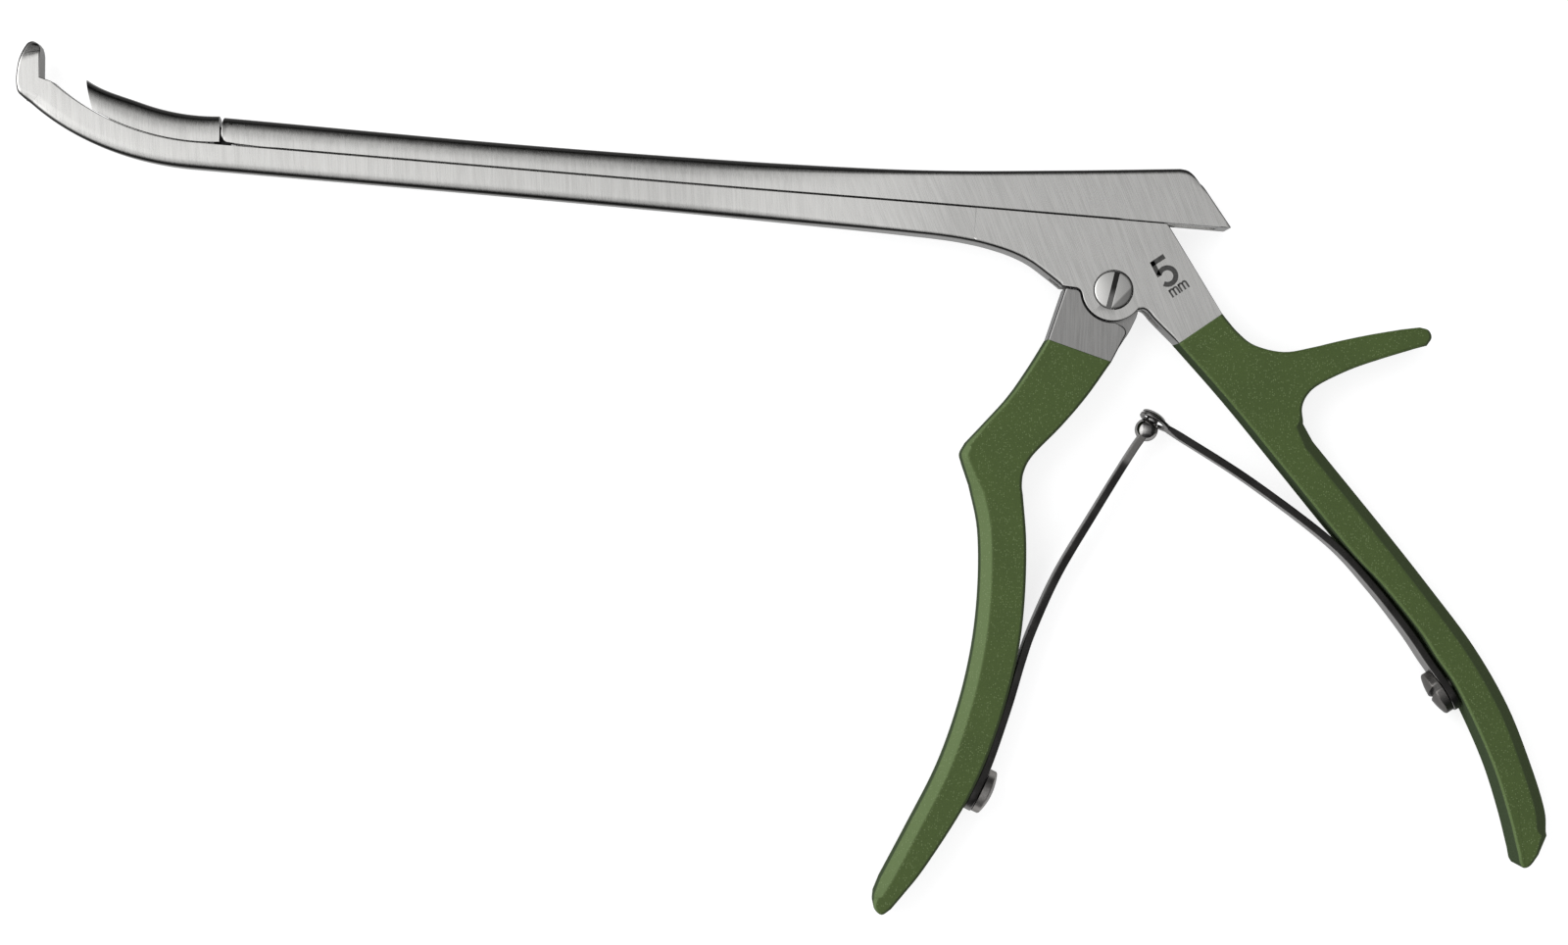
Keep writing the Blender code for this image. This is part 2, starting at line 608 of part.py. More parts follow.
def cross_hole(name, place, direction, radius, low, high, carried):
    """A round cutter across a leaf or into a handle's edge, along a level direction."""
    profile = [(0, low), (radius, low), (radius, high), (0, high)]
    return turned(name, profile, (place[0], place[1], MIDDLE), (*direction, 0), STEEL, carried, 24)


def slotted_head(name, radius, height, dome, shank, length, origin, axis, turn, slot, spec, carried):
    """A screw with a domed, slotted head. Its height is measured up from the seat under the head."""
    bulge = (radius**2 + dome**2) / (2 * dome)
    rim = [(radius, 0.0), (radius, height)]
    crown = [(radius * k, height + sqrt(bulge**2 - (radius * k) ** 2) - bulge + dome) for k in (0.75, 0.4)]
    profile = [(0, -length), (shank - 0.0003, -length), (shank, 0.0003 - length), (shank, 0.0)]
    profile += rim + crown + [(0, height + dome)]
    screw = turned(name, profile, origin, axis, spec, carried)
    axis = Vector(axis).normalized()
    across = Vector((cos(turn), sin(turn), 0)) if abs(axis.z) > 0.5 else Vector((0, 0, 1))
    if abs(axis.z) < 0.5:
        across = across * cos(turn) + axis.cross(across) * sin(turn)
    other = axis.cross(across)
    middle = Vector(origin)
    rings = []
    for reach in (-radius * 1.2, radius * 1.2):
        ring = []
        for side, up in ((-1, 0), (1, 0), (1, 1), (-1, 1)):
            level = height + dome - slot[1] if up == 0 else height + dome + 0.0010
            ring.append(tuple(middle + across * reach + other * (side * slot[0] / 2) + axis * level))
        rings.append(ring)
    cut(screw, loft(name + "_slot", rings, spec, carried))
    return screw


def make_frame(base):
    """Lower shaft, foot, cheeked body and rear handle core, forged in one piece."""
    frame = loft("lower_shaft_frame", shaft_rings(), STEEL, base)
    half = BITE_WIDTH / 2
    foot = plate("foot_form", foot_outline(), MIDDLE - half, MIDDLE + half, STEEL, base, steps=2)
    body = plate("body_form", body_outline(), BODY_LOW, BODY_HIGH, STEEL, base)
    core = handle_core("rear_core_form", rear_grip_outline, base)
    join(frame, foot, body, core)
    across = TONGUE_THICKNESS / 2 + GAP
    gap = plate("lever_slot_cut", square_edged(LEVER_SLOT), MIDDLE - across, MIDDLE + across, STEEL, base)
    seat = BODY_HIGH - PIVOT_HEAD_HEIGHT - GAP
    bore = PIVOT_SHANK_RADIUS + GAP / 2
    past = GRIP_THICKNESS + THROUGH
    cut(frame, gap, rod("pivot_bore", bore, -THROUGH, past, (0, 0), base),
        rod("pivot_counterbore", PIVOT_HEAD_RADIUS + SLIDE_GAP, seat, past, (0, 0), base),
        spring_screw_hole("rear_screw_hole", REAR_LEAF, 1, base))
    return frame


def seat_frame(path):
    """Where a spring's screw sits: the point on the leaf's middle line, and its direction."""
    return leaf_frame(path, LEAF_SEAT)[:2]


def spring_screw_hole(name, path, side, carried, radius=SPRING_SHANK_RADIUS + GAP / 2, depth=0.0):
    (x, y), (dx, dy) = seat_frame(path)
    into = (dy * side, -dx * side)
    reach = SPRING_SHANK_LENGTH + GAP + depth
    return cross_hole(name, (x, y), into, radius, 0.0, reach, carried)


def spring_screw(name, path, side, turn, carried):
    (x, y), (dx, dy) = seat_frame(path)
    out = (-dy * side, dx * side)
    seat = LEAF_THICKNESS / 2 + SLIDE_GAP
    return slotted_head(name, SPRING_HEAD_RADIUS, SPRING_HEAD_HEIGHT, SPRING_DOME, SPRING_SHANK_RADIUS,
                        SPRING_SHANK_LENGTH + seat, (x + out[0] * seat, y + out[1] * seat, MIDDLE),
                        (*out, 0), turn, (SPRING_SLOT_WIDTH, SPRING_SLOT_DEPTH), STEEL, carried)


def make_front_lever(hinge):
    """Front lever: hub and driving head on a thin tongue, full-width shoulder below the ear, handle core."""
    lean = HANDLE_SWING / 2
    length = lever_length()
    head = (length * sin(lean), length * cos(lean))
    along = Vector((sin(lean), cos(lean)))
    right = Vector((along.y, -along.x))

    def beside(distance, offset):
        point = along * distance + right * offset
        return (point.x, point.y)

    wrap = asin(ARM_WIDTH / 2 / HEAD_RADIUS)
    up = pi / 2 - lean
    round_head = arc(head, HEAD_RADIUS, up - pi + wrap, up + pi - wrap, 20)
    hub = arc((0, 0), HUB_RADIUS, radians(100), radians(170), 6)
    foot, flared = HUB_RADIUS + ARM_FOOT, ARM_WIDTH / 2 + ARM_FLARE
    tongue_ring = round_head + [beside(foot, -flared)] + hub + TONGUE_SHIN + [beside(foot, flared)]
    half = TONGUE_THICKNESS / 2
    lever = plate("front_lever", square_edged(tongue_ring), MIDDLE - half, MIDDLE + half, STEEL, hinge)
    join(lever, plate("shoulder_form", shoulder_outline(), BODY_LOW, BODY_HIGH, STEEL, hinge),
         handle_core("front_core_form", front_grip_outline, hinge))
    cut(lever, rod("lever_bore", PIVOT_SHANK_RADIUS + GAP / 2, 0, GRIP_THICKNESS, (0, 0), hinge),
        spring_screw_hole("front_screw_hole", FRONT_LEAF, -1, hinge))
    return lever


def shoulder_outline():
    """The lever's full-width shoulder, hollowed to follow the ear and stopped by the ledge when open."""
    outer, inner = FRONT_OUTER[0], FRONT_INNER[-1]
    clear = EAR_RADIUS + GAP
    fillet_x = -sqrt((EAR_RADIUS + EAR_FILLET) ** 2 - (LEDGE_Y - EAR_FILLET) ** 2)
    corner = (fillet_x, LEDGE_Y - EAR_FILLET)
    meet = asin(corner[1] / (EAR_RADIUS + EAR_FILLET))
    nose = arc(corner, EAR_FILLET - GAP, pi / 2, -meet, 4)
    hollow = arc((0, 0), clear, pi - meet, radians(278), 12)
    knee = arc(KNEE_CENTRE, KNEE_RADIUS, radians(78), radians(-8), 5)
    return trace(([(LEDGE_LEFT, LEDGE_Y - GAP)], 0.0002), (nose, 0.0002), (hollow, 0.0002), (knee, 0.0002),
                 ([inner], 0.0), ([outer], 0.0003))


def slide_bottom(x):
    """Underside of the slide. Its nose is relieved to the rail's arc, which it rides up to when closed."""
    closed = x - closing_stroke() - BEND_START
    relief = RAIL_RADIUS - sqrt(RAIL_RADIUS**2 - closed**2) if closed < 0 else 0.0
    return PARTING + SLIDE_GAP + relief


def slide_ring(x, top, shear=0.0, raised=0.0):
    """One section of the slide, rounded over its top. Shear leans it back, and raised lifts its underside."""
    half, share = half_width(x), flare(x)
    rx = BITE_WIDTH / 2 * 0.98 * (1 - share) + SLIDE_EDGE * share
    ry = TOP_ROUND * (1 - share) + SLIDE_EDGE * share
    side = [(half, slide_bottom(x) + raised)]
    side += [(half - rx * (1 - cos(a)), top - ry * (1 - sin(a))) for a in np.linspace(0, pi / 2, 5)]
    run = side + [(-across, y) for across, y in reversed(side)]
    return [(x + shear * (top - y), y, MIDDLE + across) for across, y in run]


def make_slide(rider):
    """The slide bar: straight, with its T-key below, the drive pocket and the socket for the punch's link."""
    rings = []
    for share in (0.0, 0.3, 1.0):
        x = SLIDE_FRONT + NOSE_ROUND * share
        rings.append(slide_ring(x, height_at(SLIDE_TOP, x), raised=NOSE_ROUND * (1 - share) ** 2))
    nose = [SLIDE_FRONT + NOSE_ROUND * k for k in (3, 5, 7.5)]
    for x in (*nose, *STRAIGHT_STATIONS, *FLARE_STATIONS, *TOP_STATIONS):
        rings.append(slide_ring(x, height_at(SLIDE_TOP, x)))
    last = SLIDE_CORNER[-1]
    slope = (SLIDE_REAR - last[0]) / (last[1] - slide_bottom(last[0]))
    for k, (x, top) in enumerate(SLIDE_CORNER):
        rings.append(slide_ring(x, top, slope * k / (len(SLIDE_CORNER) - 1)))
    slide = loft("slide_bar", rings, STEEL, rider)
    key = guide_key("slide_key_form", [((x, PARTING + SLIDE_GAP), (0, -1)) for x in
                                       (SLIDE_KEY_FRONT, SLIDE_KEY_REAR)], rider)
    join(slide, key)
    cut(slide, *drive_cutters(rider), *link_cutters(rider))
    return slide


def drive_cutters(rider):
    """The pocket that the lever's head drives, and the groove that its tongue swings in."""
    lean = HANDLE_SWING / 2
    length = lever_length()
    head = length * sin(lean)
    reach = HEAD_RADIUS + HEAD_GAP
    low, high = MIDDLE - TONGUE_THICKNESS / 2 - GAP, MIDDLE + TONGUE_THICKNESS / 2 + GAP
    open_below = PARTING - THROUGH
    roof = length + HEAD_RADIUS + HEAD_GAP
    shallow = length * cos(lean) - HEAD_RADIUS + 2 * GAP
    left = PARTING * tan(lean) - (ARM_WIDTH / 2 + ARM_FLARE) / cos(lean) - GAP
    pocket = block("drive_pocket", (head - reach, open_below, low), (head + reach, roof, high), rider)
    groove = block("tongue_groove", (left, open_below, low),
                   (SLIDE_REAR - TONGUE_GROOVE_END, shallow, high), rider)
    return pocket, groove


def link_cutters(rider):
    """The socket for the punch's hammerhead: a wide chamber, and a narrow mouth through the nose."""
    around = LINK_RADIUS + GAP
    open_below = PARTING - THROUGH
    wide, narrow = LINK_LENGTH / 2 + GAP, LINK_NECK / 2 + GAP
    chamber = block("link_chamber", (LINK_X - around, open_below, MIDDLE - wide),
                    (LINK_X + around, LINK_Y + around, MIDDLE + wide), rider)
    mouth = block("link_mouth", (SLIDE_FRONT - THROUGH, open_below, MIDDLE - narrow),
                  (LINK_X, LINK_Y + LINK_RADIUS, MIDDLE + narrow), rider)
    return chamber, mouth


def guide_key(name, places, carried):
    """The T-shaped key under a sliding piece, through (point, downward direction) places along its way."""
    neck, head = GUIDE_NECK / 2, GUIDE_HEAD / 2
    top, shelf = -GUIDE_ROOT, GUIDE_NECK_DEPTH
    floor = shelf + GUIDE_HEAD_DEPTH
    right = [(neck, top), (neck, shelf), (head, shelf), (head, floor)]
    run = right + [(-across, depth) for across, depth in reversed(right)]
    rings = [[(p[0] + d[0] * depth, p[1] + d[1] * depth, MIDDLE + across) for across, depth in run]
             for p, d in places]
    return loft(name, rings, STEEL, carried)


def make_punch(axis):
    """The curved punch segment: rounded back, T-key on its underside, cutting cup and hammerhead link."""
    front = punch_front()
    rear = -asin((PUNCH_REAR - BEND_START) / RAIL_RADIUS)
    ring_count = 9
    inner = RAIL_RADIUS - SLIDE_GAP
    rings = []
    for k in range(ring_count + 1):
        share = k / ring_count
        ring = []
        for across, depth in punch_section(share):
            radius = inner - depth
            start = front_angle(front, radius)
            angle = start + (rear - start) * share
            x, y = on_arc(angle, radius)
            if k == ring_count:
                x = PUNCH_REAR - PUNCH_LEAN * depth
                y = ARC_CENTRE[1] - sqrt(radius**2 - (x - ARC_CENTRE[0]) ** 2)
            ring.append((x, y, MIDDLE + across))
        rings.append(ring)
    punch = loft("punch_segment", rings, STEEL, axis)
    key_front = TOE_ANGLE - BITE_ANGLE - GAP / RAIL_RADIUS
    key_rear = rear + PUNCH_KEY_END
    steps = 8
    places = []
    for k in range(steps + 1):
        angle = key_front + (key_rear - key_front) * k / steps
        places.append((on_arc(angle, inner), (-sin(angle), -cos(angle))))
    neck_low, neck_high = LINK_Y - LINK_NECK / 2, LINK_Y + LINK_NECK / 2
    neck = block("link_neck_form", (PUNCH_REAR - 0.0025, neck_low, MIDDLE - LINK_NECK / 2),
                 (LINK_X, neck_high, MIDDLE + LINK_NECK / 2), axis)
    bar = rod("link_bar_form", LINK_RADIUS, MIDDLE - LINK_LENGTH / 2, MIDDLE + LINK_LENGTH / 2,
              (LINK_X, LINK_Y), axis, 24)
    join(punch, guide_key("punch_key_form", places, axis), neck, bar)
    cut(punch, cup_form(front, axis))
    return punch


def punch_section(share):
    """Half-section of the punch as (across, depth above the rail) points, lower towards its tip."""
    height = PUNCH_TIP_HEIGHT + (PUNCH_HEIGHT - PUNCH_TIP_HEIGHT) * ease(share * 2.2)
    half = BITE_WIDTH / 2
    side = [(half, 0.0)]
    side += [(half - half * 0.98 * (1 - cos(a)), height - TOP_ROUND * (1 - sin(a)))
             for a in np.linspace(0, pi / 2, 5)]
    return side + [(-across, depth) for across, depth in reversed(side)]


def punch_front():
    """Two points on the punch's front face at rest: the foot's face, less the bite gap, turned back open."""
    face, base = FOOT_FACE + BITE_GAP, foot_base()[1]
    ends = [(face, base), (face - tan(FOOT_LEAN) * PUNCH_TIP_HEIGHT, base + PUNCH_TIP_HEIGHT)]
    return [turned_about(p, ARC_CENTRE, BITE_ANGLE) for p in ends]


def front_angle(front, radius):
    """Angle round the bend at which a circle of this radius meets the punch's front face."""
    (ax, ay), (bx, by) = front
    dx, dy = bx - ax, by - ay
    fx, fy = ax - ARC_CENTRE[0], ay - ARC_CENTRE[1]
    a, b, c = dx * dx + dy * dy, fx * dx + fy * dy, fx * fx + fy * fy - radius * radius
    s = (-b - sqrt(b * b - a * c)) / a
    x, y = ax + dx * s, ay + dy * s
    return asin((ARC_CENTRE[0] - x) / hypot(x - ARC_CENTRE[0], y - ARC_CENTRE[1]))


def cup_form(front, carried):
    """The hollow behind the cutting edge, run in from the front face along the bend."""
    middle = RAIL_RADIUS - SLIDE_GAP - CUP_FLOOR - CUP_HEIGHT / 2
    start = front_angle(front, middle) + CUP_LEAD / middle
    rings = []
    for k in range(6):
        angle = start - (CUP_DEPTH + CUP_LEAD) / middle * k / 5
        narrow = 1.0 if k < 5 else CUP_TAPER
        ring = []
        for turn in np.linspace(0, 2 * pi, 13)[:-1]:
            radius = middle - CUP_HEIGHT / 2 * narrow * sin(turn)
            x, y = on_arc(angle, radius)
            ring.append((x, y, MIDDLE + CUP_WIDTH / 2 * narrow * cos(turn)))
        rings.append(ring)
    return loft("cup_form", rings, STEEL, carried)


def eye_hole(carried):
    """Cutter for the rear leaf's eye: a hole drawn out towards the tip, where the stud leans on closing."""
    (x, y), (dx, dy), _ = leaf_frame(REAR_LEAF, leaf_frame(REAR_LEAF, 0)[2] - EYE_RADIUS)
    outline = arc((EYE_PLAY, 0), EYE_HOLE, -pi / 2, pi / 2, 10)
    outline += arc((0, 0), EYE_HOLE, pi / 2, 3 * pi / 2, 10)
    rings = []
    for reach in (LEAF_THICKNESS, -LEAF_THICKNESS):
        rings.append([(x + dx * s - dy * reach, y + dy * s + dx * reach, MIDDLE + z) for s, z in outline])
    return loft("eye_hole", rings, SPRING_STEEL, carried)


def make_spring_ball(hinge):
    """Ball stud on the front leaf's end, through the rear leaf's eye, with a domed cap beyond it."""
    (ex, ey), (dx, dy), _ = leaf_frame(REAR_LEAF, leaf_frame(REAR_LEAF, 0)[2] - EYE_RADIUS)
    out = Vector((dy, -dx))
    if out.y < 0:
        out = -out
    rise = (ex - BALL[0]) * out.x + (ey - BALL[1]) * out.y
    seat = rise + LEAF_THICKNESS / 2 + SLIDE_GAP
    angles = np.linspace(-pi / 2, asin(sqrt(1 - (BALL_NECK / BALL_RADIUS) ** 2)), 9)
    profile = [(BALL_RADIUS * cos(a), BALL_RADIUS * sin(a)) for a in angles]
    profile[0] = (0, -BALL_RADIUS)
    profile += [(BALL_NECK, seat)]
    turns = [radians(a) for a in (0, 22, 45, 68, 90)]
    profile += [(BALL_CAP_RADIUS * cos(a), seat + BALL_CAP_HEIGHT * sin(a)) for a in turns[:-1]]
    profile += [(0, seat + BALL_CAP_HEIGHT)]
    ball = turned("spring_ball", profile, (*BALL, MIDDLE), (out.x, out.y, 0), SPRING_STEEL, hinge, 24)
    (lx, ly), (ax, ay), _ = leaf_frame(FRONT_LEAF, leaf_frame(FRONT_LEAF, 0)[2])
    half = LEAF_THICKNESS / 2 + SLIDE_GAP
    rings = []
    for reach in (-BALL_RADIUS, SLIDE_GAP):
        px, py = lx + ax * reach, ly + ay * reach
        nx, ny = -ay * half, ax * half
        rings.append([(px - nx, py - ny, MIDDLE - 0.003), (px + nx, py + ny, MIDDLE - 0.003),
                      (px + nx, py + ny, MIDDLE + 0.003), (px - nx, py - ny, MIDDLE + 0.003)])
    cut(ball, loft("ball_slot", rings, SPRING_STEEL, hinge))
    return ball


def make_springs(base, handle, front_bend, rear_bend):
    """Two leaves, each under its own screw, meeting in a ball and eye."""
    front = leaf("front_leaf_spring", FRONT_LEAF, front_bend, eye=False)
    rear = leaf("rear_leaf_spring", REAR_LEAF, rear_bend, eye=True)
    hole = SPRING_SHANK_RADIUS + GAP / 2
    for blade, path, bend in ((front, FRONT_LEAF, front_bend), (rear, REAR_LEAF, rear_bend)):
        (x, y), (dx, dy) = seat_frame(path)
        cut(blade, cross_hole(blade.name + "_hole", (x, y), (-dy, dx), hole, -THROUGH, THROUGH, bend))
    cut(rear, eye_hole(rear_bend))
    spring_screw("front_spring_screw", FRONT_LEAF, -1, radians(70), handle)
    spring_screw("rear_spring_screw", REAR_LEAF, 1, radians(20), base)
    make_spring_ball(front_bend)


def make_grips(base, handle):
    """Green coats on both handles, each pierced where its spring's screw goes through."""
    rear = grip("rear_grip", rear_grip_outline, base)
    front = grip("front_grip", front_grip_outline, handle)
    wide = SPRING_SHANK_RADIUS + GAP
    cut(rear, spring_screw_hole("rear_coat_hole", REAR_LEAF, 1, base, wide))
    cut(front, spring_screw_hole("front_coat_hole", FRONT_LEAF, -1, handle, wide))


def make_pivot_screw(base):
    seat = BODY_HIGH - PIVOT_HEAD_HEIGHT
    length = seat - BODY_LOW - 0.0002
    return slotted_head("pivot_screw", PIVOT_HEAD_RADIUS, PIVOT_HEAD_HEIGHT - PIVOT_DOME / 2, PIVOT_DOME,
                        PIVOT_SHANK_RADIUS, length, (0, 0, seat), (0, 0, 1), pi / 2 + PIVOT_SLOT_TURN,
                        (PIVOT_SLOT_WIDTH, PIVOT_SLOT_DEPTH), STEEL, base)


def stand_on_middle(root):
    """Moves the whole so that the origin lies below the middle of its outline."""
    bpy.context.view_layer.update()
    graph = bpy.context.evaluated_depsgraph_get()
    corners = []
    for obj in bpy.data.objects:
        if obj.type == "MESH" and not obj.hide_render:
            seen = obj.evaluated_get(graph)
            corners += [seen.matrix_world @ v.co for v in seen.data.vertices]
    low = [min(c[k] for c in corners) for k in (0, 1, 2)]
    high = [max(c[k] for c in corners) for k in (0, 1, 2)]
    root.location = (-(low[0] + high[0]) / 2, -(low[1] + high[1]) / 2, -low[2])


def main():
    clear_scene()
    base = carrier("rongeur", (0, 0, 0))
    handle = carrier("pivot_axis", (0, 0, MIDDLE), base)
    slide = carrier("slide_axis", (SLIDE_FRONT, PARTING, MIDDLE), base)
    punch = carrier("bend_axis", (*ARC_CENTRE, MIDDLE), base)
    front_bend = carrier("front_leaf_axis", (*FRONT_LEAF_BEND, MIDDLE), handle)
    rear_bend = carrier("rear_leaf_axis", (*REAR_LEAF_BEND, MIDDLE), base)
    make_frame(base)
    make_pivot_screw(base)
    make_front_lever(handle)
    make_slide(slide)
    make_punch(punch)
    make_grips(base, handle)
    make_springs(base, handle, front_bend, rear_bend)
    stand_on_middle(base[0])


main()
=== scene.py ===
# Bone rongeur on a pale table: smooth steel, sprung leaves, coated handles, the bite mark, light and camera.
# Lengths are in millimetres from the pivot screw's axis, unless a name says otherwise. Meshes are in metres.

import json
import math

import bpy
import numpy as np
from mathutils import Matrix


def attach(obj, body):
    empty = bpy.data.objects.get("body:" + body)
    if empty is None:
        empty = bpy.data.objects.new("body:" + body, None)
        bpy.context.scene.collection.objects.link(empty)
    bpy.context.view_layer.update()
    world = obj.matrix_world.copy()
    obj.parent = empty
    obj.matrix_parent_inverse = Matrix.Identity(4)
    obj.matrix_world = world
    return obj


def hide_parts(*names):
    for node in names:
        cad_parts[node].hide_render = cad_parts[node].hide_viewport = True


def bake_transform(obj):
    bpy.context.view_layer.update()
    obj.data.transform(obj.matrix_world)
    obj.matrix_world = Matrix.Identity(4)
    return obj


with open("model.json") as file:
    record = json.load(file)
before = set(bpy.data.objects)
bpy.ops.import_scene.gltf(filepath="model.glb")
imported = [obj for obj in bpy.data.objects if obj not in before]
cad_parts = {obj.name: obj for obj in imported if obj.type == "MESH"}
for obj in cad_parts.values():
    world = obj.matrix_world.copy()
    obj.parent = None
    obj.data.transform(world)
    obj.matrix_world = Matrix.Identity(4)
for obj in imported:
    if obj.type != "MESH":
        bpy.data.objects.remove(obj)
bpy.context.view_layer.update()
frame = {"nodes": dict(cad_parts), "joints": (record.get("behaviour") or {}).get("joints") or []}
hinge = next(joint for joint in frame["joints"] if joint["name"] == "handle_close")
pivotMm = np.array([hinge["pos_m"][0], hinge["pos_m"][1], 0.0]) * 1000
print("loaded the frame:", len(frame["nodes"]), "CAD nodes")


class Signal:
    # One output socket. An expression on signals adds Math nodes to their tree.
    def __init__(self, graph, socket):
        self.graph, self.socket = graph, socket

    def maths(self, operation, first, second):
        return self.graph.node("ShaderNodeMath", {"operation": operation}, {0: first, 1: second})

    def __add__(self, other):
        return self.maths("ADD", self, other)

    def __sub__(self, other):
        return self.maths("SUBTRACT", self, other)

    def __rsub__(self, other):
        return self.maths("SUBTRACT", other, self)

    def __mul__(self, other):
        return self.maths("MULTIPLY", self, other)

    def __gt__(self, other):
        return self.maths("GREATER_THAN", self, other)

    __radd__ = __add__

    def atMost(self, other):
        return self.maths("MINIMUM", self, other)

    def atLeast(self, other):
        return self.maths("MAXIMUM", self, other)

    def part(self, axis):
        return self.graph.node("ShaderNodeSeparateXYZ", {}, {0: self}, axis)

    def eased(self, low, high, start=0.0, end=1.0):
        # Smooth step from start at low to end at high.
        return self.graph.node("ShaderNodeMapRange", {"interpolation_type": "SMOOTHSTEP"},
                               {0: self, 1: low, 2: high, 3: start, 4: end})


class Graph:
    # A node tree, and the one method that adds a node to it.
    def __init__(self, owner):
        owner.use_nodes = True
        self.tree = owner.node_tree
        self.tree.nodes.clear()

    def node(self, kind, settings, values, output=0):
        # Settings come first, then the sockets' values or links, by number or by name.
        made = self.tree.nodes.new(kind)
        for name, value in settings.items():
            setattr(made, name, value)
        for name, value in values.items():
            if isinstance(value, Signal):
                self.tree.links.new(value.socket, made.inputs[name])
            elif isinstance(value, tuple) and len(value) == 3 and made.inputs[name].type == "RGBA":
                made.inputs[name].default_value = (*value, 1)
            else:
                made.inputs[name].default_value = value
        return Signal(self, made.outputs[output]) if made.outputs else None

    def mixed(self, factor, first, second):
        # Colour mix. The colour inputs of a Mix node are numbers 6 and 7, and its colour output is number 2.
        return self.node("ShaderNodeMix", {"data_type": "RGBA"}, {0: factor, 6: first, 7: second}, 2)

    def own(self, name):
        # One of the pieces' own attributes: side and left, which say how the surface faces at rest, and the
        # front leaf's wear.
        return self.node("ShaderNodeAttribute", {"attribute_name": name}, {}, 2)

    def here(self):
        # Object coordinates.
        return self.node("ShaderNodeTexCoord", {}, {}, 3)

    def place(self, turnDegrees, scale, offset=(0.0, 0.0, 0.0)):
        # Object coordinates in metres, moved, turned about Z and then scaled.
        turn = (0.0, 0.0, math.radians(turnDegrees))
        turned = self.node("ShaderNodeMapping", {}, {0: self.here(), 1: offset, 2: turn})
        scale = scale if isinstance(scale, tuple) else (scale,) * 3
        return self.node("ShaderNodeMapping", {}, {0: turned, 3: scale})

    def noise(self, coordinates, detail=3.0, scale=1.0, roughness=0.55):
        return self.node("ShaderNodeTexNoise", {}, {0: coordinates, "Scale": scale, "Detail": detail,
                                                    "Roughness": roughness})

    def bump(self, height, strength, distance):
        return self.node("ShaderNodeBump", {}, {"Height": height, "Strength": strength, "Distance": distance})

    def principled(self, base, metallic, rough, more):
        return self.node("ShaderNodeBsdfPrincipled", {}, {"Base Color": base, "Metallic": metallic,
                                                          "Roughness": rough, **more})

    def surface(self, shader):
        self.node("ShaderNodeOutputMaterial", {}, {0: shader})

    def rays(self):
        # Whether a ray is a camera, glossy or transmission ray.
        kinds = ("Is Camera Ray", "Is Glossy Ray", "Is Transmission Ray")
        return [self.node("ShaderNodeLightPath", {}, {}, kind) for kind in kinds]


def newMaterial(name):
    # A material by name, with an empty node tree.
    made = bpy.data.materials.get(name) or bpy.data.materials.new(name)
    return made, Graph(made)


def scaled(colour, share):
    # A colour with each channel multiplied by a share.
    return tuple(value * share for value in colour)


# The pairs of sines say from which to which tilt of the surface a change runs.
# In brushed, edge, wall and leftWall are painted shade on rounded edges and upright walls, and grazing is a
# grey edge tint that darkens grazing reflections.
brushed = {"colour": (0.70, 0.695, 0.68), "dark": 0.84, "bright": 1.12, "grainPerMetre": 3400.0,
           "stretch": 26.0, "streak": 0.35, "contrast": 2.2, "turnMetres": (-0.010, 0.025),
           "smudgePerMetre": 60.0, "smudge": 0.25, "rough": 0.22, "roughMore": 0.12, "bump": 0.25,
           "bumpMetres": 0.000005, "flatSines": (0.2, 0.5), "edge": 0.05, "edgeSines": (0.38, 0.62),
           "wall": 0.36, "wallSines": (0.84, 0.96), "leftWall": 0.13, "leftSines": (0.45, 0.9),
           "grazing": (0.52, 0.52, 0.52)}


def grainLines(g, grainDegrees):
    # Noise drawn out along one direction: fine scratches and, among them, longer and broader ones.
    across, share = brushed["grainPerMetre"], brushed["streak"]
    along = across / brushed["stretch"]
    fine = g.noise(g.place(-grainDegrees, (along, across, across)), 4.0, roughness=0.65)
    broad = g.place(-grainDegrees, (across / 50, across / 3, across / 3), (0.013, 0.007, 0.0))
    return fine * (1 - share) + g.noise(broad, 2.0) * share


def brushedSteel(name, grainDegrees, colour=brushed["colour"], rough=brushed["rough"], grain=1.0,
                 frontDegrees=None):
    # Satin steel. The grain lightens and darkens the colour, changes the gloss a little and gives a faint
    # relief, and a broad noise adds smudges. Rounded edges are painted nearly black, a painted reflection of
    # dark surroundings, and side walls are painted darker as painted shade, most of all those that face left.
    # A grey edge tint darkens grazing reflections, which is painted shade too. The grain may turn to another
    # direction towards the front.
    c = brushed
    finish, g = newMaterial(name)
    lines = grainLines(g, grainDegrees)
    if frontDegrees:
        rearwards = g.here().part(0).eased(*c["turnMetres"])
        lines = lines * rearwards + grainLines(g, frontDegrees) * (1 - rearwards)
    line = (lines - 0.5) * c["contrast"] * grain + 0.5
    smudge = g.noise(g.place(0, c["smudgePerMetre"]))
    tone = line.eased(0.1, 0.9) * (1 - c["smudge"]) + smudge * c["smudge"]
    shares = ("dark", "bright", "edge", "wall", "leftWall")
    dark, bright, edges, walls, left = [scaled(colour, c[key]) for key in shares]
    # Painted shade: rounded edges go nearly black, and upright walls darker, most of all those that face
    # left.
    side = g.own("side")
    level = g.mixed(side.eased(*c["edgeSines"]), g.mixed(tone, dark, bright), edges)
    upright = g.mixed(g.own("left").eased(*c["leftSines"]), walls, left)
    base = g.mixed(side.eased(*c["wallSines"]), level, upright)
    normal = g.bump(line, (1 - side.eased(*c["flatSines"])) * (c["bump"] * grain), c["bumpMetres"])
    g.surface(g.principled(base, 1.0, line * c["roughMore"] + rough,
                           {"Specular Tint": c["grazing"], "Normal": normal}))
    return finish


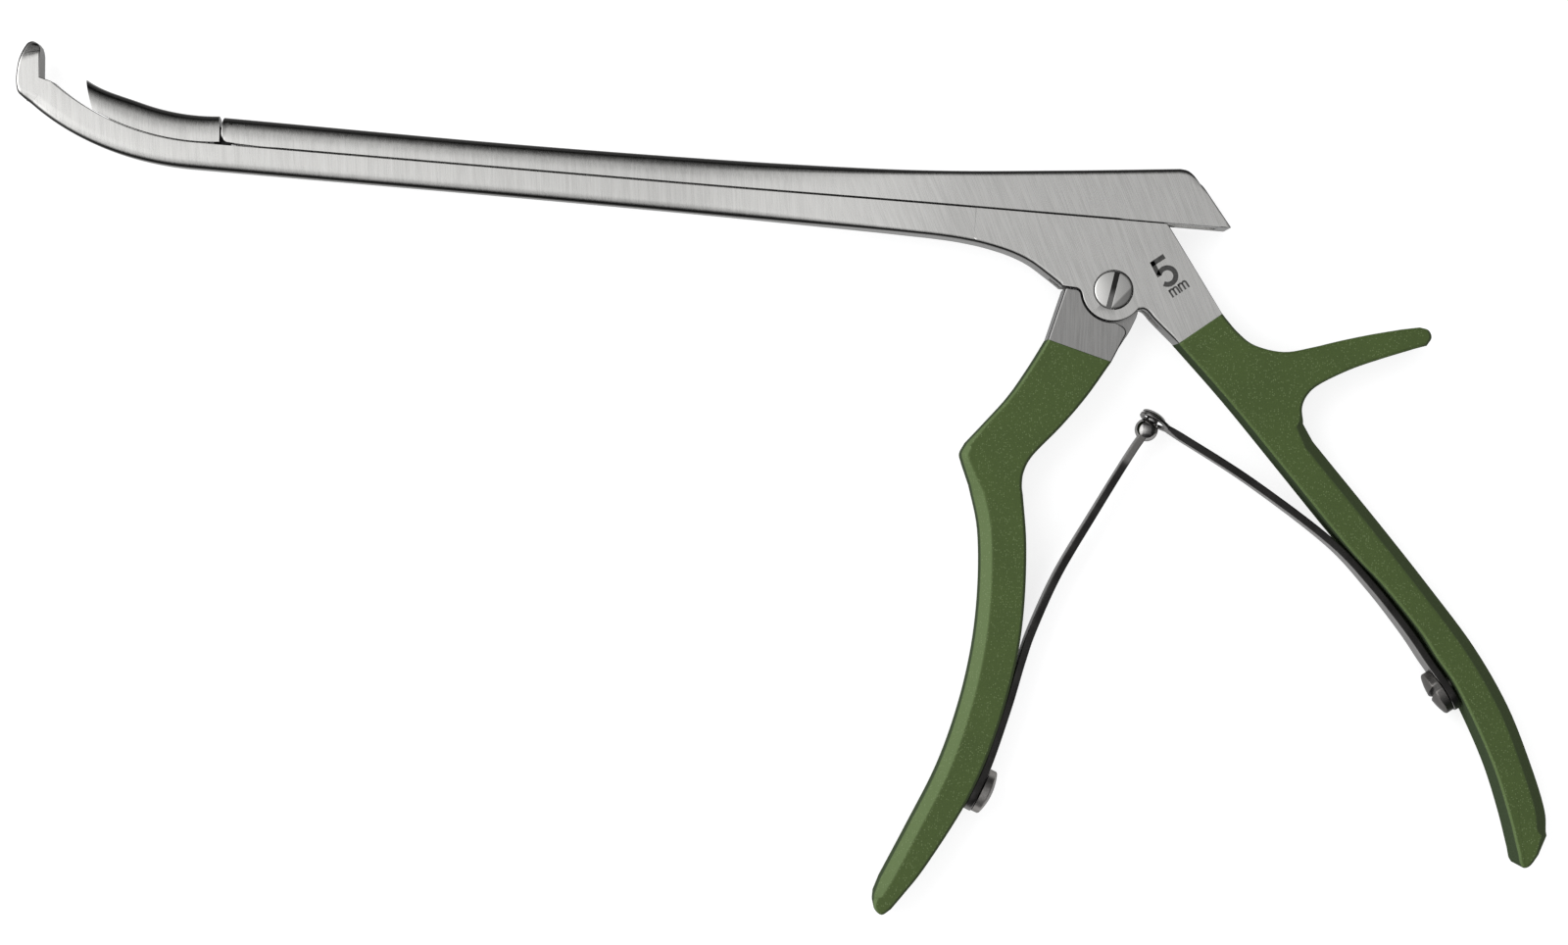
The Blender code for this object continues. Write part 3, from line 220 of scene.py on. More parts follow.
# For the pivot screw's head: glow is a painted highlight, facet a painted shade, and slot and slotEnd the
# painted shade in its slot.
head = {"colour": (0.72, 0.715, 0.70), "plain": 0.92, "glow": 1.12, "glowWay": (0.8, 0.6),
        "glowMm": (-3.6, 0.6), "facet": 0.46, "facetWay": (0.765, -0.645), "facetMm": (1.9, 2.35),
        "slot": (0.035, 0.034, 0.033), "slotEnd": (0.20, 0.198, 0.195), "slotMm": (-1.6, 0.6),
        "slotSines": (0.5, 0.8), "rough": 0.16, "lineDegrees": 110, "linesPerMetre": (400.0, 6000.0, 6000.0)}


def screwSteel(name):
    # The pivot screw's polished head, in millimetres about its axis: a painted highlight towards the lower
    # left, a painted shade on a facet at the lower right, fine lines across, and a slot filled with painted
    # shade that is darker at its upper end.
    c = head
    finish, g = newMaterial(name)
    here = g.place(0, 1000.0, tuple(-pivotMm / 1000))
    x, y = here.part(0), here.part(1)
    lines = g.noise(g.place(-c["lineDegrees"], c["linesPerMetre"]))
    glow, facet = [x * c[way][0] + y * c[way][1] for way in ("glowWay", "facetWay")]
    plain, bright, paintedShading = [scaled(c["colour"], c[key]) for key in ("plain", "glow", "facet")]
    # Painted highlight towards the lower left, painted shade on the lower right facet, and painted shade on
    # upright faces, which are the slot and the head's side.
    light = g.mixed(glow.eased(*c["glowMm"], 1.0, 0.0), plain, bright)
    wearAndShade = g.mixed(facet.eased(*c["facetMm"]) * (0.85 + lines * 0.3).atMost(1.0), light, paintedShading)
    slot = g.mixed(y.eased(*c["slotMm"]), c["slotEnd"], c["slot"])
    base = g.mixed(g.own("side").eased(*c["slotSines"]), wearAndShade, slot)
    g.surface(g.principled(base, 1.0, lines * 0.08 + c["rough"], {"Normal": g.bump(lines, 0.15, 0.000004)}))
    return finish


spring = {"colour": (0.26, 0.255, 0.25), "edge": (0.036, 0.035, 0.034), "wearAndShade": (0.24, 0.233, 0.225),
          "rough": 0.28, "grainPerMetre": 5000.0, "cloudPerMetre": 220.0, "wallSines": (0.3, 0.9)}


def springSteel(name, colour=spring["colour"], edge=spring["edge"], rough=spring["rough"]):
    # Drawn steel with a fine mottled grain, much darker where it faces up, which is the strip's cut edges,
    # and rubbed lighter where the leaf's wear attribute says so.
    finish, g = newMaterial(name)
    mottle = g.noise(g.place(0, spring["grainPerMetre"]), 4.0)
    tone = (mottle * 0.5 + g.noise(g.place(0, spring["cloudPerMetre"]), 2.0) * 0.5).eased(0.25, 0.75)
    light = g.mixed(tone, scaled(colour, 0.75), scaled(colour, 1.2))
    black = g.mixed(tone, scaled(edge, 0.6), scaled(edge, 1.6))
    black = g.mixed(g.own("wearAndShade") * (mottle * 0.6 + 0.6).atMost(1.0), black, spring["wearAndShade"])
    base = g.mixed(g.own("side").eased(*spring["wallSines"]), black, light)
    g.surface(g.principled(base, 1.0, mottle * 0.12 + rough,
                           {"Specular Tint": brushed["grazing"], "Normal": g.bump(mottle, 0.25, 0.000006)}))
    return finish


coat = {"colour": (0.062, 0.100, 0.021), "shade": (0.048, 0.078, 0.017), "fleck": (0.17, 0.23, 0.10),
        "lit": (0.086, 0.136, 0.038), "wall": (0.090, 0.125, 0.068), "back": (0.044, 0.058, 0.030),
        "flecksPerMetre": 2700.0, "fleckCells": (0.14, 0.42), "bareCells": 0.52, "fleckShare": 0.65,
        "skinPerMetre": 3200.0, "cloudPerMetre": 90.0, "rough": 0.42, "ior": 1.42, "bumpMetres": 0.000014,
        "litSines": (0.20, 0.50), "backSines": (-0.45, -0.15), "backShare": 0.85, "wallSines": (0.72, 0.96)}


def greenCoat(name):
    # Olive coat: broad cloudiness, orange-peel skin, and pale flecks at the heart of some Voronoi cells. The
    # left chamfers are painted lighter, a painted light from the left. A second, quite matt shader covers
    # upright walls, painted a paler green that stands in for their light and shade, and the right chamfers,
    # painted darker as painted shade.
    c = coat
    finish, g = newMaterial(name)
    cell = g.place(0, 1.0)
    spots, chosen = [g.node("ShaderNodeTexVoronoi", {}, {0: cell, "Scale": c["flecksPerMetre"]}, output)
                     for output in (0, 1)]
    fleck = (1 - spots.eased(*c["fleckCells"])) * (chosen.part(0) > c["bareCells"])
    skin = g.noise(cell, 2.0, c["skinPerMetre"])
    cloud = g.noise(cell, 3.0, c["cloudPerMetre"])
    ground = g.mixed((cloud * 0.4 + skin * 0.6).eased(0.3, 0.7), c["shade"], c["colour"])
    # Painted light: chamfers that face left take a lighter green.
    lit = g.mixed(g.own("left").eased(*c["litSines"]), ground, c["lit"])
    base = g.mixed(fleck * c["fleckShare"], lit, c["fleck"])
    relief = g.bump(skin + fleck * 0.4, 0.4, c["bumpMetres"])
    skinned = g.principled(base, 0.0, skin * 0.10 + c["rough"], {"IOR": c["ior"], "Normal": relief})
    # Painted shade: chamfers that face right take a darker green, and upright walls a painted colour of their
    # own.
    away = g.own("left").eased(*c["backSines"], 1.0, 0.0)
    wall = g.mixed(away, g.mixed(skin.eased(0.3, 0.7), scaled(c["wall"], 0.8), c["wall"]), c["back"])
    matt = g.principled(wall, 0.0, 0.8, {"Specular IOR Level": 0.0, "Normal": relief})
    paintedShading = g.own("side").eased(*c["wallSines"]).atLeast(away * c["backShare"])
    g.surface(g.node("ShaderNodeMixShader", {}, {0: paintedShading, 1: skinned, 2: matt}))
    return finish


ink = {"dark": (0.034, 0.034, 0.033), "light": (0.065, 0.064, 0.062), "patchesPerMetre": 2500.0, "rough": 0.5}


def etchedInk(name):
    # Dark etched mark, a little uneven.
    finish, g = newMaterial(name)
    patchy = g.noise(g.place(0, ink["patchesPerMetre"]), 2.0)
    base = g.mixed(patchy.eased(0.3, 0.7), ink["dark"], ink["light"])
    g.surface(g.principled(base, 0.0, patchy * 0.1 + ink["rough"], {}))
    return finish


finishes = {
    "body": brushedSteel("body steel", 116.0, frontDegrees=97.0),
    "lever": brushedSteel("lever steel", 93.0, colour=(0.40, 0.396, 0.39), grain=1.5),
    "screw": screwSteel("screw steel"),
    # Near-black painted shadow for the punch's hammerhead, which sits in the shade of the slide's mouth.
    "recess": brushedSteel("painted shadow steel", 0.0, colour=(0.05, 0.05, 0.05), rough=0.5, grain=0.5),
    "springScrew": springSteel("front screw steel", (0.26, 0.25, 0.24), (0.30, 0.29, 0.28)),
    "darkScrew": springSteel("rear screw steel", (0.12, 0.115, 0.11), (0.14, 0.135, 0.13)),
    "ball": springSteel("ball steel", (0.25, 0.245, 0.24), (0.27, 0.265, 0.26), 0.06),
    "spring": springSteel("spring steel"),
    "coat": greenCoat("olive coat"),
    "ink": etchedInk("etched mark"),
}
print("made", len(finishes), "finishes")


def smoothRun(points, steps):
    # Catmull-Rom curve: each stretch b to c is half of 2b + (c-a)s + (2a-5b+4c-d)s^2 + (3b-a-3c+d)s^3.
    p = np.array(points, float)
    ends = np.vstack([2 * p[0] - p[1], p, 2 * p[-1] - p[-2]])
    a, b, c, d = (ends[k:len(ends) - 3 + k, None] for k in range(4))
    s = (np.arange(steps) / steps)[None, :, None]
    run = 0.5 * (2 * b + (c - a) * s + (2 * a - 5 * b + 4 * c - d) * s**2 + (3 * b - a - 3 * c + d) * s**3)
    return np.vstack([run.reshape(-1, p.shape[1]), p[-1:]])


def arcRun(centre, radius, startDegrees, endDegrees, steps):
    # Points on a circle: centre + radius (cos t, sin t).
    turn = np.radians(np.linspace(startDegrees, endDegrees, steps + 1))
    return np.stack([centre[0] + radius * np.cos(turn), centre[1] + radius * np.sin(turn)], 1)


def wholeTurn(count):
    # Even angles round a circle, without the first one again.
    return np.linspace(0, 2 * math.pi, count + 1)[:-1]


def readOff(spot, run, values):
    # Points given along a run, read off at other distances.
    return np.stack([np.interp(spot, run, values[:, k]) for k in (0, 1)], -1)


def eased(value):
    # Smooth step: 3 v^2 - 2 v^3 between 0 and 1.
    value = np.clip(value, 0, 1)
    return value * value * (3 - 2 * value)


def heightAt(points, x):
    # Smooth edge height through points whose x rises: a cubic through each pair with the mean slopes.
    p = np.array(points, float)
    slope = np.gradient(p[:, 1], p[:, 0])
    x = np.asarray(x, float)
    i = np.clip(np.searchsorted(p[:, 0], x) - 1, 0, len(p) - 2)
    span = p[i + 1, 0] - p[i, 0]
    s = (x - p[i, 0]) / span
    return ((2 * s**3 - 3 * s**2 + 1) * p[i, 1] + (s**3 - 2 * s**2 + s) * span * slope[i]
            + (3 * s**2 - 2 * s**3) * p[i + 1, 1] + (s**3 - s**2) * span * slope[i + 1])


def outlineOf(*stretches):
    # Joins (points, edge width) stretches into one anticlockwise outline without doubled points.
    points = np.vstack([np.asarray(run, float) for run, width in stretches])
    widths = np.concatenate([np.full(len(run), float(width)) for run, width in stretches])
    apart = np.hypot(*(points - np.roll(points, 1, 0)).T) > 0.01
    points, widths = points[apart], widths[apart]
    x, y = points.T
    if (x * np.roll(y, -1) - np.roll(x, -1) * y).sum() < 0:
        points, widths = points[::-1], np.roll(widths[::-1], -1)
    return points, widths


def shifted(points, distance):
    # Moves each edge inwards by its own distance. A gentle corner takes the mean of its edges' steps. At a
    # sharp one the step is n1 d1 + a1 (d1 n1.n2 - d2) / (a1 x a2), with a the directions and n the normals.
    after = np.roll(points, -1, 0) - points
    after = after / np.hypot(*after.T)[:, None]
    before = np.roll(after, 1, 0)
    n1, n2 = [np.stack([-a[:, 1], a[:, 0]], 1) for a in (before, after)]
    d1, d2 = np.roll(distance, 1), distance
    turn = before[:, 0] * after[:, 1] - before[:, 1] * after[:, 0]
    alike = (n1 * n2).sum(1)
    gentle = (np.abs(turn) < 0.12) | ((d1 != d2) & (np.abs(turn) < 0.6))
    mean = (n1 * d1[:, None] + n2 * d2[:, None]) / np.maximum(1 + alike, 1.0)[:, None]
    safe = np.where(gentle, 1.0, turn)
    exact = n1 * d1[:, None] + before * ((d1 * alike - d2) / safe)[:, None]
    return points + np.where(gentle[:, None], mean, exact)


def atPoints(distance):
    # A point's own value from those of its two edges: their mean, or the larger where one is nil.
    before = np.roll(distance, 1)
    return np.where(np.minimum(before, distance) == 0, np.maximum(before, distance), (before + distance) / 2)


def applied(piece):
    # Takes the mesh that the piece's modifiers give, and clears them.
    graph = bpy.context.evaluated_depsgraph_get()
    graph.update()
    piece.data = bpy.data.meshes.new_from_object(piece.evaluated_get(graph))
    piece.modifiers.clear()


def settle(piece, sharpDegrees):
    # Smooth shading with corner normals weighted by face area, edges sharp past an angle, and two attributes
    # of each corner's normal: "side", the square root of 1 - z^2, and "left", which is -x.
    piece.data.polygons.foreach_set("use_smooth", np.ones(len(piece.data.polygons), bool))
    piece.data.set_sharp_from_angle(angle=math.radians(sharpDegrees))
    even = piece.modifiers.new("even", "WEIGHTED_NORMAL")
    even.keep_sharp = True
    applied(piece)
    normals = np.empty(len(piece.data.loops) * 3, np.float32)
    piece.data.corner_normals.foreach_get("vector", normals)
    side = np.sqrt(np.clip(1 - normals[2::3] ** 2, 0, 1))
    for name, value in (("side", side), ("left", -normals[::3])):
        kept = piece.data.attributes.get(name) or piece.data.attributes.new(name, "FLOAT", "CORNER")
        kept.data.foreach_set("value", np.ascontiguousarray(value, np.float32))


def declare(piece, body, slot, *nodes):
    # What the piece moves with and the CAD nodes that it stands for. The slot argument is not used.
    if body:
        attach(piece, body)
    if nodes:
        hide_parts(*nodes)


def addPiece(name, points, faces, finish="body", body=None, nodes=(), slot="steel", sharpDegrees=38.0):
    # Makes a mesh piece from points. A piece without a body is a cutter, or is declared later on.
    mesh = bpy.data.meshes.new(name)
    mesh.from_pydata(((np.asarray(points, float) + pivotMm) / 1000).tolist(), [], faces)
    mesh.materials.append(finishes[finish])
    piece = bpy.data.objects.new(name, mesh)
    bpy.context.scene.collection.objects.link(piece)
    settle(piece, sharpDegrees)
    if body:
        declare(piece, body, slot, *nodes)
    return piece


def outwards(points, faces):
    # Turns all faces round if the volume that they close in, a sum over fans of a.(b x c), is below nil.
    inside = points - points.mean(0)
    fans = np.array([(face[0], b, c) for face in faces for b, c in zip(face[1:], face[2:])])
    a, b, c = inside[fans.T]
    volume = (a * np.cross(b, c)).sum()
    return faces if volume > 0 else [face[::-1] for face in faces]


def tubeFaces(rows, columns):
    # Quads between neighbouring rings, each ring closed on itself, and a cap on either end.
    i = np.arange(rows - 1)[:, None] * columns
    j = np.arange(columns)[None, :]
    n = (j + 1) % columns
    quads = np.stack([i + j, i + n, i + columns + n, i + columns + j], -1).reshape(-1, 4).tolist()
    top = (rows - 1) * columns
    return quads + [list(range(columns))[::-1], list(range(top, top + columns))]


def addLoft(name, rings, *more, **named):
    # Rings of equally many points, from one end to the other, closed by caps and turned to face outwards.
    rings = np.asarray(rings, float)
    points, faces = rings.reshape(-1, 3), tubeFaces(*rings.shape[:2])
    return addPiece(name, points, outwards(points, faces), *more, **named)


def upright(outline, levels):
    # An outline repeated at several heights.
    return [np.column_stack([outline, np.full(len(outline), z)]) for z in levels]


def roundBreak(steps):
    # Quarter round: inwards by 1 - sin t and down by 1 - cos t of the edge's width.
    turn = np.linspace(0, math.pi / 2, steps + 1)
    return [(1 - math.sin(t), 1 - math.cos(t), 0.0, 0.0) for t in turn]


def softChamfer(slope, steps):
    # Chamfer with both corners eased by quadratic curves. Rows are shares of the width and of the easing.
    u, v = np.array([1.0, slope]) / math.hypot(1.0, slope)
    s = np.linspace(0, 1, steps + 1)
    upper = [(1.0, 0.0, (1 - k) ** 2 - u * k * k, v * k * k) for k in s]
    lower = [(0.0, slope, u * (1 - k) ** 2, k * k - v * (1 - k) ** 2) for k in s]
    return upper + lower


plateShape = {"ease": 0.35, "low": 0.3, "high": 9.7}


def addPlate(name, outline, low, high, profile, *more, **named):
    # The edge profile is carried round the outline, below and above, with the outline's width at each point.
    points, widths = outline
    eases = np.minimum(plateShape["ease"], plateShape["ease"] * widths)
    deep, deepEase = atPoints(widths), atPoints(eases)
    rings = []
    for across, down, acrossEase, downEase in profile:
        ring = shifted(points, widths * across + eases * acrossEase)
        rings.append(np.column_stack([ring, low + deep * down + deepEase * downEase]))
    rings += [ring * (1, 1, -1) + (0, 0, low + high) for ring in rings[::-1]]
    return addLoft(name, rings, *more, **named)


def carve(piece, *cutters):
    # Cuts the piece with helper pieces and takes the helpers away.
    for cutter in cutters:
        step = piece.modifiers.new("cut", "BOOLEAN")
        step.operation, step.solver, step.object = "DIFFERENCE", "EXACT", cutter
    applied(piece)
    settle(piece, 38.0)
    for cutter in cutters:
        bpy.data.objects.remove(cutter)


def prism(name, outline, low, high):
    # Plain upright cutter over an outline.
    return addLoft(name, upright(outlineOf((outline, 0.0))[0], (low, high)))


# Shared measures of the sliding parts
rail = {"parting": 13.5, "bendStart": -178.5, "radius": 48.0, "toeDegrees": 36.5, "gap": 0.2, "middle": 5.0,
        "biteWidth": 5.0, "bodyWidth": 9.4, "flareFront": -85.0, "flareRear": -30.0, "flareCuts": 34,
        "bodyFront": -27.5, "slideFront": -173.5}
arcCentre = np.array([rail["bendStart"], rail["parting"] + rail["radius"]])
toe = math.radians(rail["toeDegrees"])
flareX = np.linspace(rail["flareFront"], rail["flareRear"], rail["flareCuts"])


def flare(x):
    # How far the bar has widened from the bite's width to the body's: a smooth step along x.
    return eased((np.asarray(x, float) - rail["flareFront"]) / (rail["flareRear"] - rail["flareFront"]))


def halfWidth(x):
    # Half the thickness: bite + flare (body - bite), halved.
    return (rail["biteWidth"] + flare(x) * (rail["bodyWidth"] - rail["biteWidth"])) / 2


def onArc(angle, radius):
    # Points round the bend, from straight below its centre towards the foot.
    return np.stack([arcCentre[0] - radius * np.sin(angle), arcCentre[1] - radius * np.cos(angle)], -1)


def withAcross(flat, across):
    # Points in the plane of the outline, with their distances from the middle plane.
    return np.concatenate([flat, np.broadcast_to(rail["middle"] + across, flat.shape[:-1])[..., None]], -1)


def swept(places, ways, reach, across):
    # Sections at places along a path, so far along the direction at each and so far across.
    return withAcross(places[:, None] + ways[:, None] * np.asarray(reach)[..., None], across)


def slab(name, low, high, half):
    # Cutter with a rectangular outline, so far to either side of the middle plane.
    outline = [low, (high[0], low[1]), high, (low[0], high[1])]
    return prism(name, outline, rail["middle"] - half, rail["middle"] + half)


slideShape = {
    "top": [(-173.5, 18.9), (-110.0, 18.6), (-65.0, 19.2), (-35.0, 20.1), (-12.0, 22.05), (11.0, 24.3)],
    "corner": [(11.0, 24.3), (12.5, 24.1), (13.8, 23.3), (15.1, 21.8)],
    "rear": 21.6, "edge": 1.2, "crown": 2.6, "stroke": 12.1535, "noseRound": 1.2, "break": 0.12,
    "rearBreak": 0.30, "grooveEnd": 2.6, "headRadius": 2.9, "headGap": 0.3, "tongue": 3.0,
    "leanDegrees": 18.5, "nose": [0.0, 0.03, 0.08, 0.16, 0.3, 0.45, 0.6, 0.8, 1.0], "sectionPoints": 17,
    "linkSlot": ((-172.25, 17.75), -169.15, 1.9), "linkMouth": ((-174.5, 17.45), -170.7, 1.1),
}
lean = math.radians(slideShape["leanDegrees"])
crank = slideShape["stroke"] / (2 * math.sin(lean))


def halfSection(share, half, height, edge, lowBreak):
    # Right half of a section as (across, up) points. Thin form: across^2 / half^2 + (up / height)^2.6 = 1.
    # Body form: a straight side, a quarter round of the edge's size and a level top. Share mixes the two.
    q = np.linspace(0, 1, slideShape["sectionPoints"])
    share, half, height = [np.asarray(v, float)[..., None] for v in (share, half, height)]
    turn = q * math.pi / 2
    thinAcross = half * np.cos(turn)
    thinUp = lowBreak + (height - lowBreak) * np.sin(turn) ** (2 / slideShape["crown"])
    spans = ((0, 0.3), (0.3, 0.5), (0.8, 0.2))
    rise, bend, level = [np.clip((q - start) / span, 0, 1) for start, span in spans]
    bodyUp = lowBreak + rise * (height - edge - lowBreak) + edge * np.sin(bend * math.pi / 2)
    bodyAcross = (half - edge * (1 - np.cos(bend * math.pi / 2))) * (1 - level)
    across = (1 - share) * thinAcross + share * bodyAcross
    up = (1 - share) * thinUp + share * bodyUp
    first = np.stack([half[..., 0] - lowBreak, np.zeros_like(half[..., 0])], -1)[..., None, :]
    return np.concatenate([first, np.stack([across, up], -1)], -2)


def mirrored(section):
    # A half-section that ends on the middle line, made whole.
    return np.concatenate([section, section[..., -2::-1, :] * (-1, 1)], -2)


def slideBottom(x):
    # The underside. At the nose it clears the arc that it rides up to when closed: R - sqrt(R^2 - x^2).
    closed = np.minimum(np.asarray(x, float) - slideShape["stroke"] - rail["bendStart"], 0)
    return rail["parting"] + rail["gap"] + rail["radius"] - np.sqrt(rail["radius"] ** 2 - closed**2)


def makeSlide():
    # Sections along the bar. The nose is rounded below, and the rear sections lean over to its slanting end,
    # which has a small quarter round.
    c = slideShape
    nose = np.array(c["nose"])
    stations = np.concatenate([rail["slideFront"] + c["noseRound"] * nose, np.linspace(-170.5, -89, 18),
                               flareX, np.linspace(-28, 9, 19)])
    corner = smoothRun(c["corner"], 6)
    last = corner[-1]
    slope = (c["rear"] - last[0]) / (last[1] - slideBottom(last[0]))
    cornerShare = np.linspace(0, 1, len(corner))
    turn = np.linspace(0, math.pi / 2, 5)[1:]
    straight, ending = np.zeros(len(stations)), np.ones(4)
    x = np.concatenate([stations, corner[:, 0], last[0] + c["rearBreak"] * np.sin(turn)])
    x[len(stations):] -= c["rearBreak"] * np.concatenate([cornerShare, ending])
    top = np.concatenate([heightAt(c["top"], stations), corner[:, 1], last[1] * ending])
    shear = np.concatenate([straight, slope * cornerShare, slope * ending])
    shrink, raised = np.zeros(len(x)), np.zeros(len(x))
    shrink[:3] = c["break"] * (1 - nose[:3] / nose[2])
    shrink[-4:] = c["rearBreak"] * (1 - np.cos(turn))
    raised[:len(nose)] = c["noseRound"] * (1 - nose) ** 2
    low = slideBottom(x) + raised + shrink
    half = halfWidth(x) - shrink
    section = mirrored(halfSection(flare(x), half, top - shrink - low, c["edge"], c["break"]))
    y = low[:, None] + section[..., 1]
    flat = np.stack([x[:, None] + shear[:, None] * (top[:, None] - y), y], -1)
    slide = addLoft("slideBar", withAcross(flat, section[..., 0]), sharpDegrees=50)
    head, reach, half = crank * math.sin(lean), c["headRadius"] + c["headGap"], c["tongue"] / 2 + 0.3
    below, grooveTop = rail["parting"] - 1, crank * math.cos(lean) - c["headRadius"] + 0.6
    left = rail["parting"] * math.tan(lean) - 2.5 / math.cos(lean) - 0.3
    carve(slide, slab("pocket", (head - reach, below), (head + reach, crank + reach), half),
          slab("groove", (left, below), (c["rear"] - c["grooveEnd"], grooveTop), half),
          *[slab(name, (spot[0], below), (rear, spot[1]), width) for name, (spot, rear, width) in
            (("link", c["linkSlot"]), ("mouth", c["linkMouth"]))])
    declare(slide, "slide", "steel", "slide_bar")


makeSlide()
keyShape = {"half": [(0.6, 0.5), (0.6, -1.1), (1.3, -1.1), (1.3, -1.9)], "slideX": (-150.0, -48.0),
            "slideY": 13.7, "punchRadius": 47.8,
            "punchTurn": (math.radians(21.3) - 0.00625, -0.1002 + math.radians(3.0))}


def makeKey(name, places, ups, body):
    # The T-shaped key under a sliding piece, carried along points with an upward direction at each.
    half = np.array(keyShape["half"])
    section = np.concatenate([half, half[::-1] * (-1, 1)])
    addLoft(name, swept(places, ups, section[:, 1], section[:, 0]), body=body)


makeKey("slideKey", np.array([(x, keyShape["slideY"]) for x in keyShape["slideX"]]), np.array([(0, 1.0)] * 2),
        "slide")
punchShape = {"face": -209.1515, "base": 23.5147, "lean": math.tan(math.radians(4.0)), "biteDegrees": 15.2,
              "tipHeight": 4.2, "height": 5.2, "rear": -173.72, "rearBow": 0.027, "rings": 36, "edge": 0.9,
              "break": 0.06, "cup": (3.4, 2.6), "cupDepth": 5.5, "cupFloor": 0.7, "cupLead": 3.0}


def turnedAbout(points, centre, degrees):
    # Turned about a centre: x cos a - y sin a, x sin a + y cos a.
    a = math.radians(degrees)
    turn = np.array([[math.cos(a), math.sin(a)], [-math.sin(a), math.cos(a)]])
    return (np.asarray(points, float) - centre) @ turn + centre


def frontAngle(radius):
    # Where a circle round the bend's centre meets the line of the punch's front face: the root of a
    # quadratic in the distance along that line.
    c = punchShape
    ends = [(c["face"], c["base"]), (c["face"] - c["lean"] * c["tipHeight"], c["base"] + c["tipHeight"])]
    start, end = turnedAbout(ends, arcCentre, c["biteDegrees"])
    way, away = end - start, start - arcCentre
    a, b = way @ way, away @ way
    s = (-b - np.sqrt(b * b - a * (away @ away - np.asarray(radius, float) ** 2))) / a
    reach = away + way * s[..., None]
    return np.arcsin(-reach[..., 0] / np.hypot(reach[..., 0], reach[..., 1]))


def makePunch():
    # Sections round the bend, from the slanting front face to the bowed rear one, less a cup that tapers off
    # as the root of 1 - 0.9 x^2.
    c = punchShape
    inner = rail["radius"] - rail["gap"]
    share = np.linspace(0, 1, c["rings"])
    height = c["tipHeight"] + (c["height"] - c["tipHeight"]) * eased(share * 2.2)
    half = np.full(len(share), rail["biteWidth"] / 2)
    section = mirrored(halfSection(np.zeros(len(share)), half, height, c["edge"], c["break"]))
    radius = inner - section[..., 1]
    rearX = c["rear"] - c["rearBow"] * section[-1, :, 1] ** 2
    rear = -np.arcsin((rearX - arcCentre[0]) / radius[-1])
    start = frontAngle(radius)
    angle = start + (rear[None, :] - start) * share[:, None]
    punch = addLoft("punchSegment", withAcross(onArc(angle, radius), section[..., 0]), sharpDegrees=50)
    wide, tall = [size / 2 for size in c["cup"]]
    middle = inner - c["cupFloor"] - tall
    run = np.linspace(0, 1, 12)
    reach = c["cupLead"] - (c["cupDepth"] + c["cupLead"]) * run
    way = frontAngle(np.array([middle]))[0] + reach / middle
    narrow = np.sqrt(np.clip(1 - np.clip((run - 0.75) / 0.25, 0, 1) ** 2 * 0.9, 0, 1))[:, None]
    turn = wholeTurn(32)
    cupRadius = middle - tall * narrow * np.sin(turn)
    cupFlat = onArc(np.broadcast_to(way[:, None], cupRadius.shape), cupRadius)
    carve(punch, addLoft("cup", withAcross(cupFlat, wide * narrow * np.cos(turn))))
    declare(punch, "punch", "steel", "punch_segment")


makePunch()
keyTurn = np.linspace(*keyShape["punchTurn"], 10)
makeKey("punchKey", onArc(keyTurn, np.full(10, keyShape["punchRadius"])),
        np.stack([np.sin(keyTurn), np.cos(keyTurn)], 1), "punch")
linkShape = {"bar": (-170.7, 16.2), "barRadius": 1.25, "barZ": (3.4, 6.6), "top": 17.0, "neckZ": (4.25, 5.75),
             "necks": (("linkNeck", 15.4, -176.2, -170.7), ("linkWeb", 13.7, -175.0, -171.9))}


def makeLink():
    # The punch's hammerhead: an upright bar on two necks, all in the near-black finish that paints the shade
    # inside the slide's mouth.
    c = linkShape
    turn = wholeTurn(32)
    bar = np.array(c["bar"]) + c["barRadius"] * np.stack([np.cos(turn), np.sin(turn)], 1)
    addLoft("linkBar", upright(bar, c["barZ"]), "recess", "punch")
    near, far = c["neckZ"]
    for name, low, front, rear in c["necks"]:
        neck = np.array([(low, near), (c["top"], near), (c["top"], far), (low, far)])
        addLoft(name, [np.column_stack([np.full(4, x), neck]) for x in (front, rear)], "recess", "punch")


makeLink()
print("made the slide and the punch")

shaftShape = {
    "bottom": [(-178.5, 8.5), (-110.0, 8.3), (-64.0, 7.9), (-40.0, 7.6), (-34.0, 7.45), (-30.0, 7.2),
               (-27.5, 6.93)],
    "lower": [(-33.0, 7.42), (-27.5, 6.93), (-23.5, 6.25), (-19.7, 5.3), (-16.2, 3.9), (-12.8, 1.8),
              (-9.8, -0.2)],
    "height": 5.0, "toeHeight": 5.8, "round": 1.2, "bodyEdge": 0.8, "tuck": 0.3, "break": 0.10, "neck": 0.8,
    "headHalf": 1.5, "shelf": 0.7, "floor": 1.9, "step": 0.045, "stepFrom": -104.0, "stepRun": 25.0,
    "bendCuts": 40, "tall": 0.7,
}
footBase = np.array([-209.3015, onArc(toe, rail["radius"])[1] + 0.6])


def bothSides(reach, across):
    # Adds to half-sections, from top to bottom, their mirror images from bottom to top.
    return np.concatenate([reach, reach[:, ::-1]], 1), np.concatenate([across, -across[:, ::-1]], 1)


